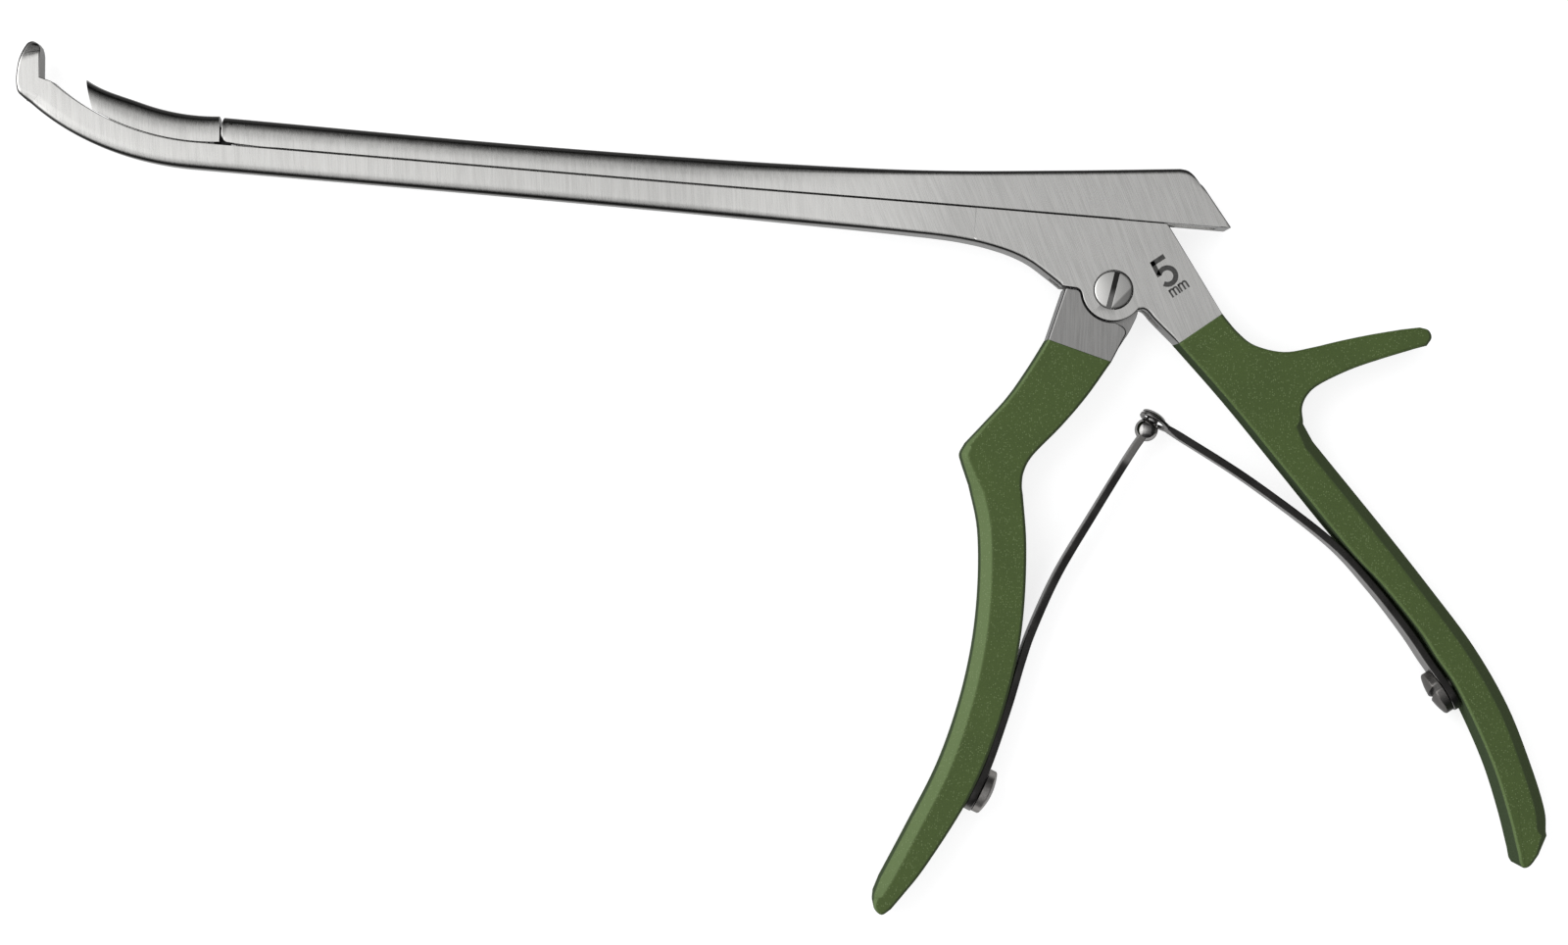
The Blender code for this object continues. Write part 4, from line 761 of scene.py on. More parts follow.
def makeShaft():
    # Sections from the foot to the body, each across a downward direction: a slot in the top, and bottom
    # edges that are quarter ellipses: r (1 - cos a) across and a taller t (1 - sin a) down. Forwards of the
    # flare a tiny step, the polisher's line, runs along the top of these edges.
    c = shaftShape
    start = onArc(toe, rail["radius"])
    ramp = (footBase - start) / np.hypot(*(footBase - start))
    bend = toe * (1 - np.linspace(0, 1, c["bendCuts"]))
    x = np.concatenate([np.linspace(-177, -89, 20), flareX, [rail["bodyFront"]]])
    tucked = rail["bodyFront"] + np.array([0.02, 5.0])
    level = np.concatenate([x, tucked])
    top = np.concatenate([[start + ramp * 1.4, start + ramp * 0.02], onArc(bend, rail["radius"]),
                          np.stack([level, np.full(len(level), rail["parting"])], 1)])
    turn = np.concatenate([[toe, toe], bend, np.zeros(len(level))])
    down = np.stack([-np.sin(turn), -np.cos(turn)], 1)
    low = np.concatenate([heightAt(c["bottom"], x), heightAt(c["lower"], tucked)])
    bent = c["height"] + (c["toeHeight"] - c["height"]) * eased(bend / toe)
    height = np.concatenate([[c["toeHeight"]] * 2, bent, rail["parting"] - low])[:, None]
    front = top[:, :1]
    lid = np.zeros((len(top), 1))
    lid[[0, 1, -2, -1]] = c["tuck"]
    half, height, one = halfWidth(front) - lid, height - lid, np.ones((len(top), 1))
    a = np.linspace(0, math.pi / 2, 9)[None, :]
    r = c["round"] + flare(front) * (c["bodyEdge"] - c["round"])
    tall = r * (1 + c["tall"] * (1 - flare(front)))
    step = c["step"] * eased((c["stepFrom"] - front) / c["stepRun"])
    head, neck, floor, shelf = [c[key] * one for key in ("headHalf", "neck", "floor", "shelf")]
    across = [head, head, neck, neck, half - c["break"], half, half,
              half - step - (r - step) * (1 - np.cos(a))]
    depth = [floor, shelf, shelf, lid, lid, lid + c["break"], height - tall - 0.3,
             height - tall * (1 - np.sin(a))]
    sections = bothSides(*[np.concatenate(parts, 1) for parts in (depth, across)])
    addLoft("lowerShaft", swept(top, down, *sections), "body", "frame", ("lower_shaft_frame",),
            sharpDegrees=50)


footShape = {
    "depth": 4.3, "rise": 7.0, "archFrom": 3.7, "arch": 0.46, "archSoft": 0.15, "inner": 0.15, "crown": 0.8,
    "rings": 44, "spots": [0, 1, 2, 3, 4, 5, 6, 6.6, 7.2, 7.6, 8],
    "outer": [(0.49, -0.67), (0.72, -0.57), (0.95, -0.43), (1.06, -0.114), (1.045, 0.286), (0.95, 0.63),
              (0.77, 0.914), (0.56, 1.0)],
    "face": [(0.0, 0.0), (0.014, 0.12), (0.030, 0.26), (0.048, 0.42), (0.066, 0.58), (0.083, 0.73)],
    "brow": [(0.12, 0.83), (0.23, 0.914), (0.38, 0.97), (0.56, 1.0)],
}


def makeFoot():
    # Sections between the inner face and the back, from the shaft's end to the crown. Each is as long as the
    # line between the two and narrows above a height by a slope times (d + sqrt(d^2 + 0.15)) / 2.
    c = footShape
    start, heel = onArc(toe, rail["radius"]), onArc(toe, rail["radius"] + shaftShape["toeHeight"])
    outer, face, brow = [footBase + np.array(c[key]) * (-c["depth"], c["rise"])
                         for key in ("outer", "face", "brow")]
    outer = smoothRun([heel, *outer], 12)
    t = np.unique(np.concatenate([np.linspace(0, 7.9, c["rings"]), [1.0, 6.0]]))
    near = readOff(t, c["spots"], np.array([start, *face, *brow]))
    far = readOff(t, np.linspace(0, 8, len(outer)), outer)
    length = np.hypot(*(far - near).T)[:, None]
    above = ((near[:, 1:] + far[:, 1:]) / 2 - footBase[1]) - c["archFrom"]
    half = rail["biteWidth"] / 2 - c["arch"] * (above + np.sqrt(above**2 + c["archSoft"])) / 2
    share = eased(t / 4)[:, None]
    down = np.minimum(shaftShape["round"] * (1 - share) + c["crown"] * share, half * 0.8)
    along = np.minimum(shaftShape["round"] * 1.7 * (1 - share) + c["crown"] * share, length * 0.6)
    first = np.minimum(c["inner"], length * 0.2)
    a = np.linspace(0, math.pi / 2, 9)[None, :]
    reach = np.concatenate([np.zeros_like(first), first, length - along + along * np.sin(a)], 1)
    z = np.concatenate([half - first, half, half - down * (1 - np.cos(a))], 1)
    rings = swept(near, (far - near) / length, *bothSides(reach, z))
    addLoft("biteFoot", rings, "body", "frame", sharpDegrees=42)


makeShaft()
makeFoot()
# Each stretch of a coat's outline has the width of its chamfer, its steps between points, and its points. A
# coat's last point is where its mouth begins.
coatShape = {
    "edge": 0.5, "corner": 1.3, "wide": 2.2, "slope": 0.75, "mouth": 0.16, "thickness": 10.0, "spread": 1.3,
    "rear": [
        ("edge", 6, [(13.3, -9.2), (24.0, -19.5), (35.0, -30.9), (46.0, -42.4), (51.4, -47.7), (56.0, -51.8),
                     (63.6, -59.7), (67.7, -65.0), (71.6, -69.8), (76.1, -77.1), (80.5, -85.4), (83.9, -93.7),
                     (86.4, -101.0)]),
        ("edge", 5, [(86.9, -102.9), (87.7, -103.8), (89.0, -103.3), (90.4, -101.1)]),
        ("wide", 6, [(91.8, -97.3), (91.2, -92.5), (87.8, -84.0), (82.4, -73.1), (75.0, -62.4), (65.7, -51.9),
                     (55.9, -41.4), (45.8, -30.9), (40.8, -25.7)]),
        ("edge", 6, [(38.6, -22.5), (38.0, -19.6), (38.8, -17.0), (41.0, -14.7), (46.4, -11.5), (52.0, -9.0),
                     (58.8, -6.3)]),
        ("edge", 5, [(60.8, -5.6), (61.6, -4.0), (60.9, -2.6), (59.2, -2.2)]),
        ("edge", 6, [(55.7, -2.9), (50.2, -4.3), (44.7, -5.9), (39.2, -7.7), (33.6, -9.1), (28.0, -8.3),
                     (24.5, -6.1), (21.2, -2.8)]),
    ],
    "front": [
        ("edge", 6, [(-11.7, -10.5), (-14.5, -16.0), (-18.0, -22.0), (-22.6, -28.0)]),
        ("corner", 6, [(-25.5, -31.6), (-26.4, -33.7), (-25.9, -35.5)]),
        ("wide", 6, [(-24.1, -39.7), (-21.7, -48.1), (-20.7, -59.4), (-21.0, -70.9), (-22.7, -82.5),
                     (-25.8, -94.2), (-30.6, -106.0), (-35.1, -116.5)]),
        ("edge", 5, [(-36.0, -119.5), (-35.8, -121.9), (-34.2, -123.2), (-32.5, -122.0)]),
        ("edge", 6, [(-30.7, -119.5), (-26.7, -113.5), (-20.4, -101.7), (-16.7, -92.1), (-14.0, -81.5),
                     (-12.3, -71.0), (-11.9, -61.0), (-12.5, -50.0), (-13.8, -41.6), (-14.3, -38.8),
                     (-14.1, -36.0), (-12.6, -32.8), (-7.8, -27.0), (-3.4, -20.9), (0.8, -13.8)]),
    ],
}
rearMouth, frontMouth = [coatShape[key][-1][2][-1] for key in ("rear", "front")]
pivotShape = {"ear": 6.0, "fillet": 1.5, "ledge": -0.2, "headRadius": 3.65, "headDepth": 1.6, "gap": 0.3,
              "bore": 2.35, "play": 0.2}
bodyShape = {"rear": [(9.2, 13.5), (9.7, 13.0)], "under": [(22.0, -4.5), (14.8, -9.8)],
             "web": [(13.3, -9.2), (8.7, -5.3), (7.4, -4.0), (6.6, -3.4), (5.8, -3.2)], "slotZ": (3.2, 6.8),
             "slot": [(-7.6, 14.5), (-9.2, 8.0), (-12.5, 0.5), (-12.5, -12.0), (9.8, -12.0), (9.6, -3.0),
                      (8.4, 2.0), (7.6, 7.0), (7.6, 14.5)]}


def earFillet():
    # Centre of the small hollow between the ear and the ledge, and the angle at which it meets the ear.
    c = pivotShape
    reach = c["ear"] + c["fillet"]
    y = c["ledge"] - c["fillet"]
    return (-math.sqrt(reach**2 - y**2), y), math.degrees(math.asin(y / reach))


def disc(radius, count):
    # An even ring of points about the pivot.
    return arcRun((0, 0), radius, 0, 360, count)[:-1]


def makeBody():
    # The two cheeks as one plate with the ear round the screw, less the lever's slot and the screw's bore.
    c, shape = pivotShape, bodyShape
    fillet, meet = earFillet()
    ear = arcRun((0, 0), c["ear"], -36, -180 - meet, 40)
    hollow = arcRun(fillet, c["fillet"], -meet, 90, 8)
    lower = smoothRun(shaftShape["lower"], 8)[8:][::-1]
    corner, back = shape["rear"]
    front, web = (rail["bodyFront"] - 0.05, rail["parting"]), smoothRun(shape["web"], 4)[:-1]
    outline = outlineOf(([front], 0.1), ([corner], 0.15), ([back], 0.22), ([rearMouth, *shape["under"]], 0.0),
                        (web, 0.6), (ear, 0.2), (hollow, 0.2), (lower[:-1], shaftShape["bodyEdge"]),
                        (lower[-1:], 0.0))
    high = plateShape["high"]
    body = addPlate("cheekBody", outline, plateShape["low"], high, roundBreak(5))
    seat = high - c["headDepth"] - c["gap"]
    carve(body, prism("leverSlot", shape["slot"], *shape["slotZ"]),
          prism("bore", disc(c["bore"], 72), -1, 12),
          prism("counterbore", disc(c["headRadius"] + c["play"], 72), seat, 12))
    declare(body, "frame", "steel")


makeBody()
leverShape = {"neckHalf": 1.9, "shoulder": (6.0, 2.5), "hub": 4.8, "ledgeX": -9.2, "knee": (1.75, -8.1),
              "kneeRadius": 1.4, "back": [(-0.4, -15.6), (-12.4, -12.4)],
              "shin": [(-8.6, -6.0), (-6.0, -10.5), (1.0, -11.5), (3.3, -9.0), (4.7, -6.0), (5.4, -3.3),
                       (5.0, 2.0)]}


def makeLever():
    # The tongue with its round head in the slide's pocket, and the shoulder that shows below the ear.
    c, shape = pivotShape, leverShape
    along = np.array([math.sin(lean), math.cos(lean)])
    side = np.array([along[1], -along[0]])
    reach = slideShape["headRadius"]
    wrap = math.degrees(math.asin(shape["neckHalf"] / reach))
    up = 90 - slideShape["leanDegrees"]
    head = arcRun(along * crank, reach, up - 180 + wrap, up + 180 - wrap, 36)
    hub = arcRun((0, 0), shape["hub"], 100, 170, 14)
    far, wide = shape["shoulder"]
    ring = [*head, along * far - side * wide, *hub, *smoothRun(shape["shin"], 4), along * far + side * wide]
    half = slideShape["tongue"] / 2
    tongue = addPlate("leverTongue", outlineOf((ring, 0.12)), rail["middle"] - half, rail["middle"] + half,
                      roundBreak(3), "lever")
    carve(tongue, prism("leverBore", disc(c["bore"], 48), 0, 10))
    declare(tongue, "front_handle", "steel")
    fillet, meet = earFillet()
    nose = arcRun(fillet, c["fillet"] - c["gap"], 90, -meet, 8)
    hollow = arcRun((0, 0), c["ear"] + c["gap"], 180 - meet, 278, 30)
    knee = arcRun(shape["knee"], shape["kneeRadius"], 78, -8, 12)
    under, corner = shape["back"]
    start, end = (shape["ledgeX"], c["ledge"] - c["gap"]), coatShape["front"][0][2][0]
    outline = outlineOf(([start], 0.2), (nose, 0.15), (hollow, 0.15), (knee, 0.3), ([frontMouth], 0.3),
                        ([under], 0.0), ([corner], 0.35), ([end], 0.45))
    addPlate("leverShoulder", outline, plateShape["low"], plateShape["high"], roundBreak(5), "lever",
             "front_handle", ("front_lever",))


makeLever()
print("made the shaft, foot, body and lever")


def coatOutline(*stretches):
    # An outline whose chamfer width changes gradually: each edge takes the mean of those near it, weighted by
    # a bell curve of the way between them. The mouth keeps its own small width.
    points, widths = outlineOf(*stretches)
    mouth = int(np.argmin(widths))
    way = np.hypot(*(np.roll(points, -1, 0) - points).T)
    spot = np.cumsum(way) - way / 2
    apart = np.abs(spot[:, None] - spot[None, :])
    apart = np.minimum(apart, way.sum() - apart)
    weight = np.exp(-(apart / coatShape["spread"]) ** 2 / 2) * way[None, :]
    weight[:, mouth] = 0
    widths = (weight @ widths) / weight.sum(1)
    widths[mouth] = coatShape["mouth"]
    return points, widths


def makeCoats():
    # Each coat is a plate over its outline, with an eased chamfer of changing width round both faces.
    c = coatShape
    for name, key, body, node in (("rearCoat", "rear", "frame", "rear_grip"),
                                  ("frontCoat", "front", "front_handle", "front_grip")):
        runs = [(smoothRun(points, steps), c[width]) for width, steps, points in c[key]]
        last, width = runs.pop()
        outline = coatOutline(*runs, (last[:-1], width), (last[-1:], 0.0))
        addPlate(name, outline, 0.0, c["thickness"], softChamfer(c["slope"], 4), "coat", body, (node,),
                 "green_coat")


makeCoats()
print("made the coats")

leafShape = {
    "thickness": 1.5, "base": 8.0, "end": 3.2, "corner": 0.22, "round": 3.5, "wornMm": 6.7, "eyeAt": 4.0,
    "eye": 3.25, "hole": 2.15, "play": 0.5, "eyeThickness": 0.58, "twistDegrees": 11.0, "screwAt": 4.5,
    "front": [(-19.5, -101.9), (-18.0, -98.0), (-16.0, -92.5), (-13.2, -81.5), (-11.3, -72.5), (-9.6, -66.0),
              (-5.7, -55.2), (0.1, -43.3), (6.1, -31.5), (8.4, -27.4)],
    "rear": [(73.3, -74.5), (70.4, -70.5), (66.4, -65.7), (62.3, -60.6), (55.0, -52.7), (46.0, -44.6),
             (29.9, -34.4), (15.7, -26.9), (10.1, -24.1), (7.1, -22.6)],
}


def leafPath(key):
    # Dense points, their distances along the path and unit directions.
    points = smoothRun(leafShape[key], 24)
    run = np.concatenate([[0], np.cumsum(np.hypot(*np.diff(points, axis=0).T))])
    heading = np.gradient(points, run, axis=0)
    return points, run, heading / np.hypot(*heading.T)[:, None]


def alongLeaf(path, spot):
    # Places at distances along a leaf, and the directions and their left sides there.
    points, run, heading = path
    way = readOff(spot, run, heading)
    return readOff(spot, run, points), way, np.stack([-way[..., 1], way[..., 0]], -1)


def twisted(out, up, share):
    # The eye's twist: across becomes across cos t - up sin t, and up becomes across sin t + up cos t.
    t = math.radians(leafShape["twistDegrees"]) * share
    return out * np.cos(t) - up * np.sin(t), out * np.sin(t) + up * np.cos(t)


def addLeaf(name, key, eye, node):
    # A rounded strip on edge carried along its path. Its half-width is a taper, rounded off at the screw's
    # end by sqrt(r^2 - x^2), and at an eye by the eye's own circle.
    c = leafShape
    path = leafPath(key)
    radius, wide, full = c["eye"], c["base"] / 2, path[1][-1]
    length = full - (c["eyeAt"] - radius if eye else 0)
    start = wide - np.sqrt(wide**2 - np.linspace(3.4, 0, 8)[:-1] ** 2)
    if eye:
        tail = length - radius * (1 - np.cos(np.radians(np.linspace(176, 5, 36))))
        middle = np.linspace(0.6, tail[0] - 0.4, 90)
    else:
        tail = np.linspace(length - 2 * radius, length, 8)[1:]
        middle = np.linspace(0.6, length - 2 * radius, 90)
    s = np.concatenate([0.02 + start * 0.2, np.linspace(0.35, c["round"], 10), middle[middle > 3.6], tail])
    s = np.unique(np.round(s, 4))
    half = wide + (c["end"] - c["base"]) / 2 * s / length
    rounded = np.sqrt(np.maximum(wide**2 - (c["round"] - s) ** 2, 0.3))
    half = np.where(s < c["round"], np.minimum(half, rounded), half)
    toEye = np.zeros((len(s), 1))
    if eye:
        ring = np.sqrt(np.maximum(radius**2 - (s - length + radius) ** 2, 0.05))
        atEye = np.maximum(np.where(s < length - radius, half, 0), ring)
        half = np.where(s > length - 2 * radius, atEye, half)
        toEye = eased((s - length + 9) / 5)[:, None]
    r, t = c["corner"], (c["thickness"] + (c["eyeThickness"] - c["thickness"]) * toEye) / 2
    a = np.linspace(0, math.pi / 2, 4)
    out = np.concatenate([t - r + r * np.cos(a), r - t - r * np.sin(a)], 1)
    up = half[:, None] + np.concatenate([-r * (1 - np.sin(a)), -r * (1 - np.cos(a))])
    place, _, left = alongLeaf(path, s)
    leaf = addLoft(name, swept(place, left, *twisted(*bothSides(out, up), toEye)), "spring")
    if eye:
        hole = arcRun((c["play"], 0), c["hole"], -90, 90, 20), arcRun((0, 0), c["hole"], 90, 270, 20)
        across, up = np.vstack(hole).T
        place, way, left = alongLeaf(path, full - c["eyeAt"])
        out, high = twisted(np.array([[2.0], [-2.0]]), up, 1.0)
        flat = place + way * across[:, None] + left * out[..., None]
        carve(leaf, addLoft("eyeHole", withAcross(flat, high)))
    else:
        wearAndShade = leaf.data.attributes.new("wearAndShade", "FLOAT", "POINT")
        rubbed = eased((s - length + c["wornMm"]) / 0.8)
        wearAndShade.data.foreach_set("value", np.repeat(rubbed, 16).astype(np.float32))
    declare(leaf, None, "spring_steel", node)
    return leaf


frontLeaf = addLeaf("frontLeaf", "front", False, "front_leaf_spring")
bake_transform(frontLeaf)
rearLeaf = addLeaf("rearLeaf", "rear", True, "rear_leaf_spring")
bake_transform(rearLeaf)
ballShape = {"centre": (9.1, -26.1), "radius": 2.25, "neck": 1.2, "gap": 0.3, "capRim": 2.4, "cap": 2.5,
             "capLift": 0.12, "capDome": 0.95, "steps": 64}


def makeBall():
    # Ball stud, turned about an axis across the eye: a sphere, its neck through the eye, and a domed cap.
    c = ballShape
    path = leafPath("rear")
    eye, _, left = alongLeaf(path, path[1][-1] - leafShape["eyeAt"])
    out = left if left[1] > 0 else -left
    seat = (eye - c["centre"]) @ out + leafShape["eyeThickness"] / 2 + c["gap"]
    ball = np.linspace(-math.pi / 2 + 0.02, math.acos(c["neck"] / c["radius"]), 30)
    cap = np.linspace(0, math.pi / 2 - 0.02, 14)
    profile = [*(c["radius"] * np.stack([np.cos(ball), np.sin(ball)], 1)), (c["neck"], seat - 0.05),
               (c["capRim"], seat),
               *np.stack([c["cap"] * np.cos(cap), seat + c["capLift"] + c["capDome"] * np.sin(cap)], 1)]
    radius, height = np.array(profile).T[..., None]
    turn = wholeTurn(c["steps"])
    side = np.array([out[1], -out[0]])
    flat = c["centre"] + out * height[..., None] + side * (radius * np.cos(turn))[..., None]
    addLoft("springBall", withAcross(flat, -radius * np.sin(turn)), "ball", "front_leaf", ("spring_ball",),
            "spring_steel")


makeBall()
print("made the springs")

pivotScrew = {"radius": 3.65, "height": 1.425, "dome": 0.22, "slot": (0.98, 0.8), "shank": (2.2, 7.6),
              "rim": 0.12, "baseZ": 8.1, "slotDegrees": 81.0}
springScrew = {"radius": 4.4, "height": 1.5, "dome": 0.85, "slot": (1.1, 1.0), "shank": (1.5, 6.85),
               "rim": 0.2, "lift": 0.2, "slotDegrees": {"front": 70.0, "rear": 20.0}}
lip = 0.07  # how far the slot's upper edges are broken


def addScrew(name, c, origin, axis, slotWay, body, finish, node):
    # Slotted head as a height field on chords parallel to the slot: up = height + dome (1 - rho^2), less an
    # easing near the rim, and the slot's floor between its two walls. A skirt closes it, and the shank is a
    # tube.
    radius, wide, deep = c["radius"], c["slot"][0] / 2, c["slot"][1]
    axis, slotWay = [np.array(v, float) / np.linalg.norm(v) for v in (axis, slotWay)]
    across = np.cross(slotWay, axis)

    def place(a, b, h):
        a, b, h = [np.asarray(v)[..., None] for v in (a, b, h)]
        return np.array(origin) + across * a + slotWay * b + axis * h

    outer = np.sin(np.linspace(math.pi / 2 * 0.985, math.asin((wide + lip) / radius), 14)) * radius
    u = np.concatenate([-outer, [-wide, -wide, -wide / 3, wide / 3, wide, wide], outer[::-1]])[:, None]
    row = np.arange(len(u))[:, None]
    inSlot, atLip = (row > 14) & (row < 19), (row == 14) | (row == 19)
    chord = np.sqrt(radius**2 - u**2) * np.sin(np.linspace(-math.pi / 2, math.pi / 2, 25))
    rho = np.minimum(np.hypot(u, chord) / radius, 1)
    dome = c["height"] + c["dome"] * (1 - rho**2) - c["rim"] * np.clip((rho - 0.93) / 0.07, 0, 1) ** 2
    up = np.where(inSlot, c["height"] + c["dome"] - deep, dome - lip * atLip)
    wideU = np.broadcast_to(u, chord.shape)
    top = place(wideU, chord, up).reshape(-1, 3)
    rows, columns = chord.shape
    i, j = np.arange(rows - 1)[:, None] * columns, np.arange(columns - 1)[None, :]
    quads = np.stack([i + j, i + j + 1, i + columns + j + 1, i + columns + j], -1).reshape(-1, 4).tolist()
    grid = np.arange(rows * columns).reshape(rows, columns)
    loop = np.concatenate([grid[0, :-1], grid[:-1, -1], grid[-1, :0:-1], grid[:0:-1, 0]])
    foot = place(wideU.reshape(-1)[loop], chord.reshape(-1)[loop], np.zeros(len(loop)))
    count, n = len(loop), len(top)
    k = np.arange(count)
    skirt = np.stack([loop, n + k, n + (k + 1) % count, np.roll(loop, -1)], 1).tolist()
    points = np.vstack([top, foot])
    head = outwards(points, quads + skirt + [(n + k)[::-1].tolist()])
    shankRadius, length = c["shank"]
    turn = wholeTurn(40)
    rings = [place(r * np.cos(turn), r * np.sin(turn), np.full(40, h)) for r, h in
             ((shankRadius - 0.3, -length), (shankRadius, 0.3 - length), (shankRadius, 0.3))]
    tube = outwards(np.vstack(rings), tubeFaces(3, 40))
    tube = [[index + len(points) for index in face] for face in tube]
    screw = addPiece(name, np.vstack([points, *rings]), head + tube, finish, body, (node,))
    # The slot's walls and floor count as sides. On the pivot screw that gives them the slot's painted shade.
    kept = screw.data.attributes["side"].data
    side = np.empty(len(kept), np.float32)
    kept.foreach_get("value", side)
    first, last = [row * (columns - 1) * 4 for row in (14, 19)]
    side[first:last] = 1.0
    kept.foreach_set("value", side)


slotTurn = math.radians(pivotScrew["slotDegrees"])
addScrew("pivotScrew", pivotScrew, (0, 0, pivotScrew["baseZ"]), (0, 0, 1),
         (math.cos(slotTurn), math.sin(slotTurn), 0), "frame", "screw", "pivot_screw")
for name, key, side, body, node, finish in (
        ("frontSpringScrew", "front", -1, "front_handle", "front_spring_screw", "springScrew"),
        ("rearSpringScrew", "rear", 1, "frame", "rear_spring_screw", "darkScrew")):
    spot, _, left = alongLeaf(leafPath(key), leafShape["screwAt"])
    spot = spot + left * side * (leafShape["thickness"] / 2 + springScrew["lift"])
    out, upwards = np.array([*(left * side), 0.0]), np.array([0, 0, 1.0])
    tilt = math.radians(springScrew["slotDegrees"][key])
    slotWay = upwards * math.cos(tilt) + np.cross(out, upwards) * math.sin(tilt)
    addScrew(name, springScrew, (*spot, rail["middle"]), out, slotWay, body, finish, node)
print("made the screws")

markShape = {"five": (9.60, 4.36), "unit": (12.55, 1.28), "turnDegrees": 38.0, "heavy": 0.98, "fine": 0.36,
             "low": 9.68, "high": 9.712, "bar": ((1.45, 2.55), (-1.57, 2.55)),
             "stem": ((-1.14, 2.96), (-1.44, -0.23)), "bowl": ((-0.14, -0.99), 1.6, 142, -148, 30),
             "lefts": (-1.83, 0.21), "foot": -0.8, "top": 0.85, "archY": 0.34, "arch": 0.39}


def addStroke(name, run, width, centre):
    # A flat ribbon along a written stroke: each point moves half the width to either side of its direction.
    c = markShape
    run = turnedAbout(run, np.zeros(2), c["turnDegrees"]) + centre
    ahead = np.gradient(run, axis=0)
    ahead = ahead / np.hypot(*ahead.T)[:, None]
    side = np.stack([-ahead[:, 1], ahead[:, 0]], 1) * width / 2
    left, right = [upright(run + way, (c["low"], c["high"])) for way in (side, -side)]
    addLoft(name, np.stack([left[0], right[0], right[1], left[1]], 1), "ink", "frame")


def makeMark():
    # The figure from two bars and a bowl, and the unit from two letters of a stem and two arches each.
    c = markShape
    addStroke("markFiveBar", np.linspace(*c["bar"], 4), c["heavy"], c["five"])
    addStroke("markFiveStem", np.linspace(*c["stem"], 4), c["heavy"] * 0.9, c["five"])
    addStroke("markFiveBowl", arcRun(*c["bowl"]), c["heavy"], c["five"])
    for k, left in enumerate(c["lefts"]):
        stem = np.linspace((left, c["foot"]), (left, c["top"]), 4)
        addStroke(f"markUnitStem{k}", stem, c["fine"], c["unit"])
        for n, start in enumerate((left, left + 2 * c["arch"])):
            bow = arcRun((start + c["arch"], c["archY"]), c["arch"], 165, 0, 12)
            arch = np.vstack([bow, [(start + 2 * c["arch"], c["foot"])]])
            addStroke(f"markUnitArch{k}{n}", arch, c["fine"], c["unit"])


makeMark()
print("made the bite mark")

studio = {
    "filmWidthMm": 36.0, "lensMm": 70.0, "frameWidthMm": 300.5, "shaftSlopeDegrees": 4.85,
    "lookAtMm": (-59.98, -40.24, 10.0), "floorSizeMm": 3000.0, "floorColour": (0.42, 0.42, 0.425),
    "floorGlow": 0.76, "ambient": 0.62, "bright": 1.35, "plain": 0.55, "middle": 0.64, "dark": 0.16,
    "softbox": 1.6,
    "lamps": {"key": (7.0, 0.9, (-0.75, 0.35, 0.95)), "fill": (2.2, 1.2, (0.7, -0.6, 1.1))},
}
white = (1.0, 1.0, 1.0)


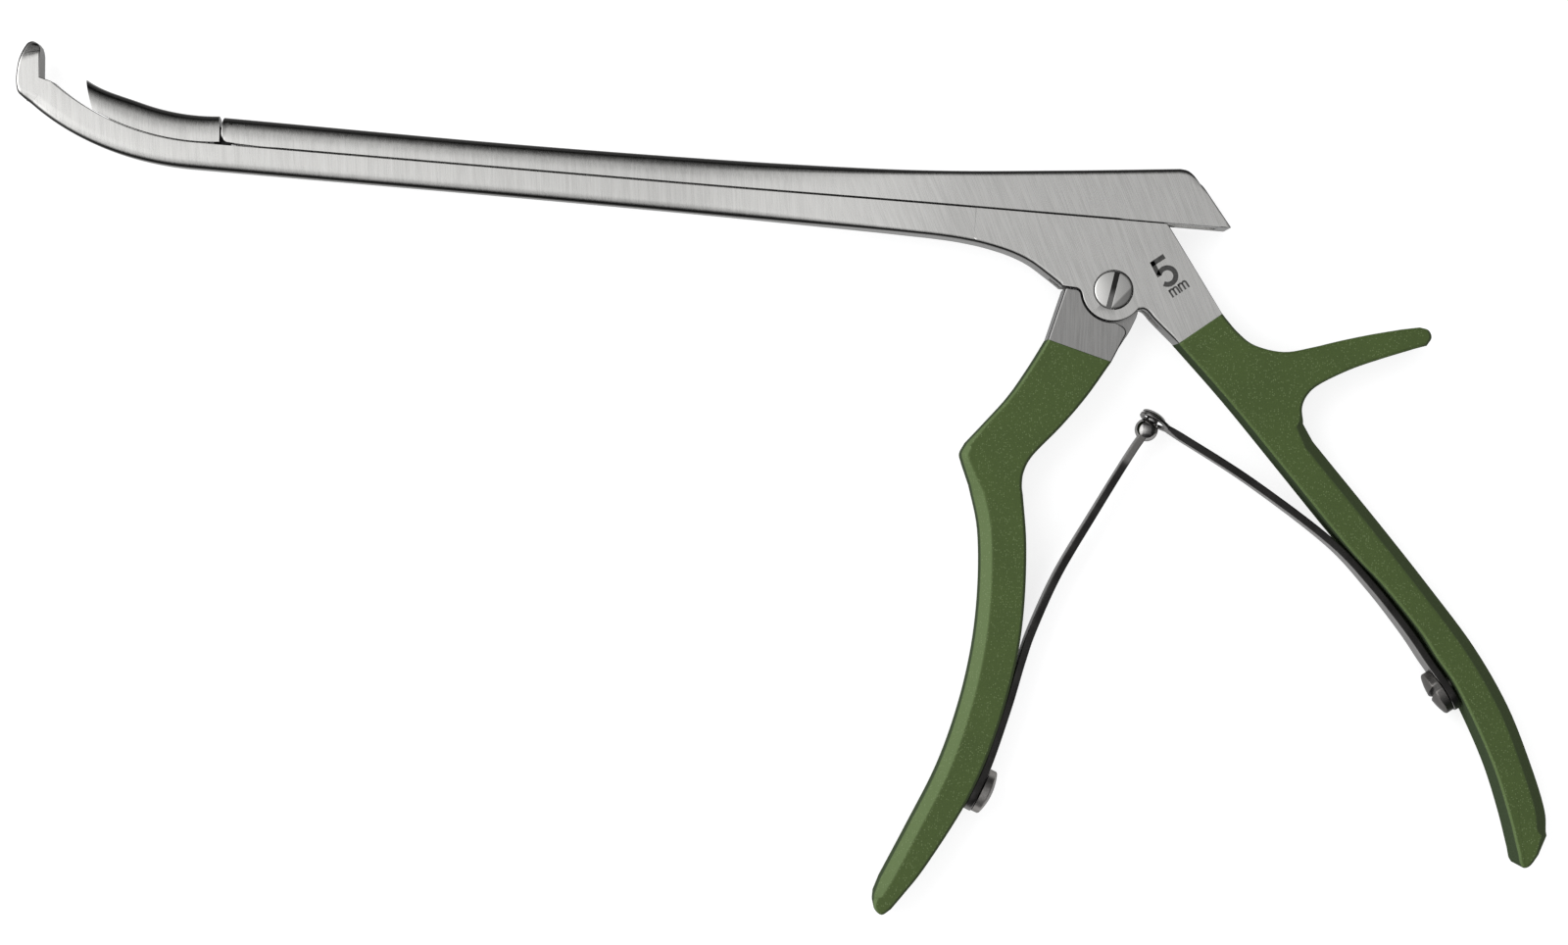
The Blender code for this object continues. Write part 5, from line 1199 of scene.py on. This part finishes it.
def makeWorld(scene):
    # White to the eye and plain to matt surfaces. Reflections see a ceiling that is brightest on the left, a
    # softbox low on the left, and dark cards beyond both long sides of the instrument and on the right.
    c = studio
    scene.world = bpy.data.worlds.new("studio")
    g = Graph(scene.world)
    direction = g.node("ShaderNodeTexCoord", {}, {}, 0)
    x, y = direction.part(0), direction.part(1)
    seen = x.eased(-0.45, 0.2, c["bright"], c["plain"])
    for away in (y, 0 - y, x):
        seen = away.eased(0.12, 0.42, 1.0, c["middle"]) * away.eased(0.48, 0.82, 1.0, c["dark"]) * seen
    seen = seen + (0 - x).eased(0.50, 0.80) * c["softbox"]
    camera, glossy, clear = g.rays()
    direct = camera.atLeast(clear)
    strength = direct + (1 - direct) * (glossy * seen + (1 - glossy) * c["ambient"])
    g.node("ShaderNodeOutputWorld", {}, {0: g.node("ShaderNodeBackground", {}, {0: white, 1: strength})})


def makeTable(scene):
    # A pale floor that also glows a little, but only as it is seen, so that it lights nothing.
    c = studio
    finish, g = newMaterial("pale table")
    grain = g.noise(g.place(0, 40.0), 1.0, 2.0)
    base = g.mixed(grain.eased(0.3, 0.7), scaled(c["floorColour"], 0.99), c["floorColour"])
    camera, glossy, clear = g.rays()
    seen = (camera + glossy + clear).atMost(1.0)
    glow = g.node("ShaderNodeEmission", {}, {0: white, 1: seen * c["floorGlow"]})
    shade = g.node("ShaderNodeBsdfDiffuse", {}, {0: base})
    g.surface(g.node("ShaderNodeAddShader", {}, {0: shade, 1: glow}))
    mesh = bpy.data.meshes.new("table")
    half = c["floorSizeMm"] / 2000
    corners = [(-half, -half, 0), (half, -half, 0), (half, half, 0), (-half, half, 0)]
    mesh.from_pydata(corners, [], [(0, 1, 2, 3)])
    mesh.materials.append(finish)
    table = bpy.data.objects.new("table", mesh)
    scene.collection.objects.link(table)


def makeStudio():
    # The view, the world, the table, two soft lamps and a camera straight above.
    c = studio
    scene = bpy.context.scene
    scene.view_settings.view_transform = "Standard"
    makeWorld(scene)
    makeTable(scene)
    for name, (power, size, spot) in c["lamps"].items():
        lamp = bpy.data.lights.new(name, "AREA")
        lamp.energy, lamp.size = power, size
        holder = bpy.data.objects.new(name, lamp)
        holder.location = spot
        holder.rotation_euler = (-holder.location).to_track_quat("-Z", "Y").to_euler()
        holder.visible_glossy = False
        scene.collection.objects.link(holder)
    data = bpy.data.cameras.new("camera")
    data.lens, data.sensor_width = c["lensMm"], c["filmWidthMm"]
    data.clip_start, data.clip_end = 0.01, 10.0
    camera = bpy.data.objects.new("camera", data)
    x, y, z = (np.array(c["lookAtMm"]) + pivotMm) / 1000
    camera.location = (x, y, z + c["frameWidthMm"] / 1000 * c["lensMm"] / c["filmWidthMm"])
    camera.rotation_euler = (0, 0, math.radians(c["shaftSlopeDegrees"]))
    scene.collection.objects.link(camera)
    scene.camera = camera


makeStudio()
print("made the studio")
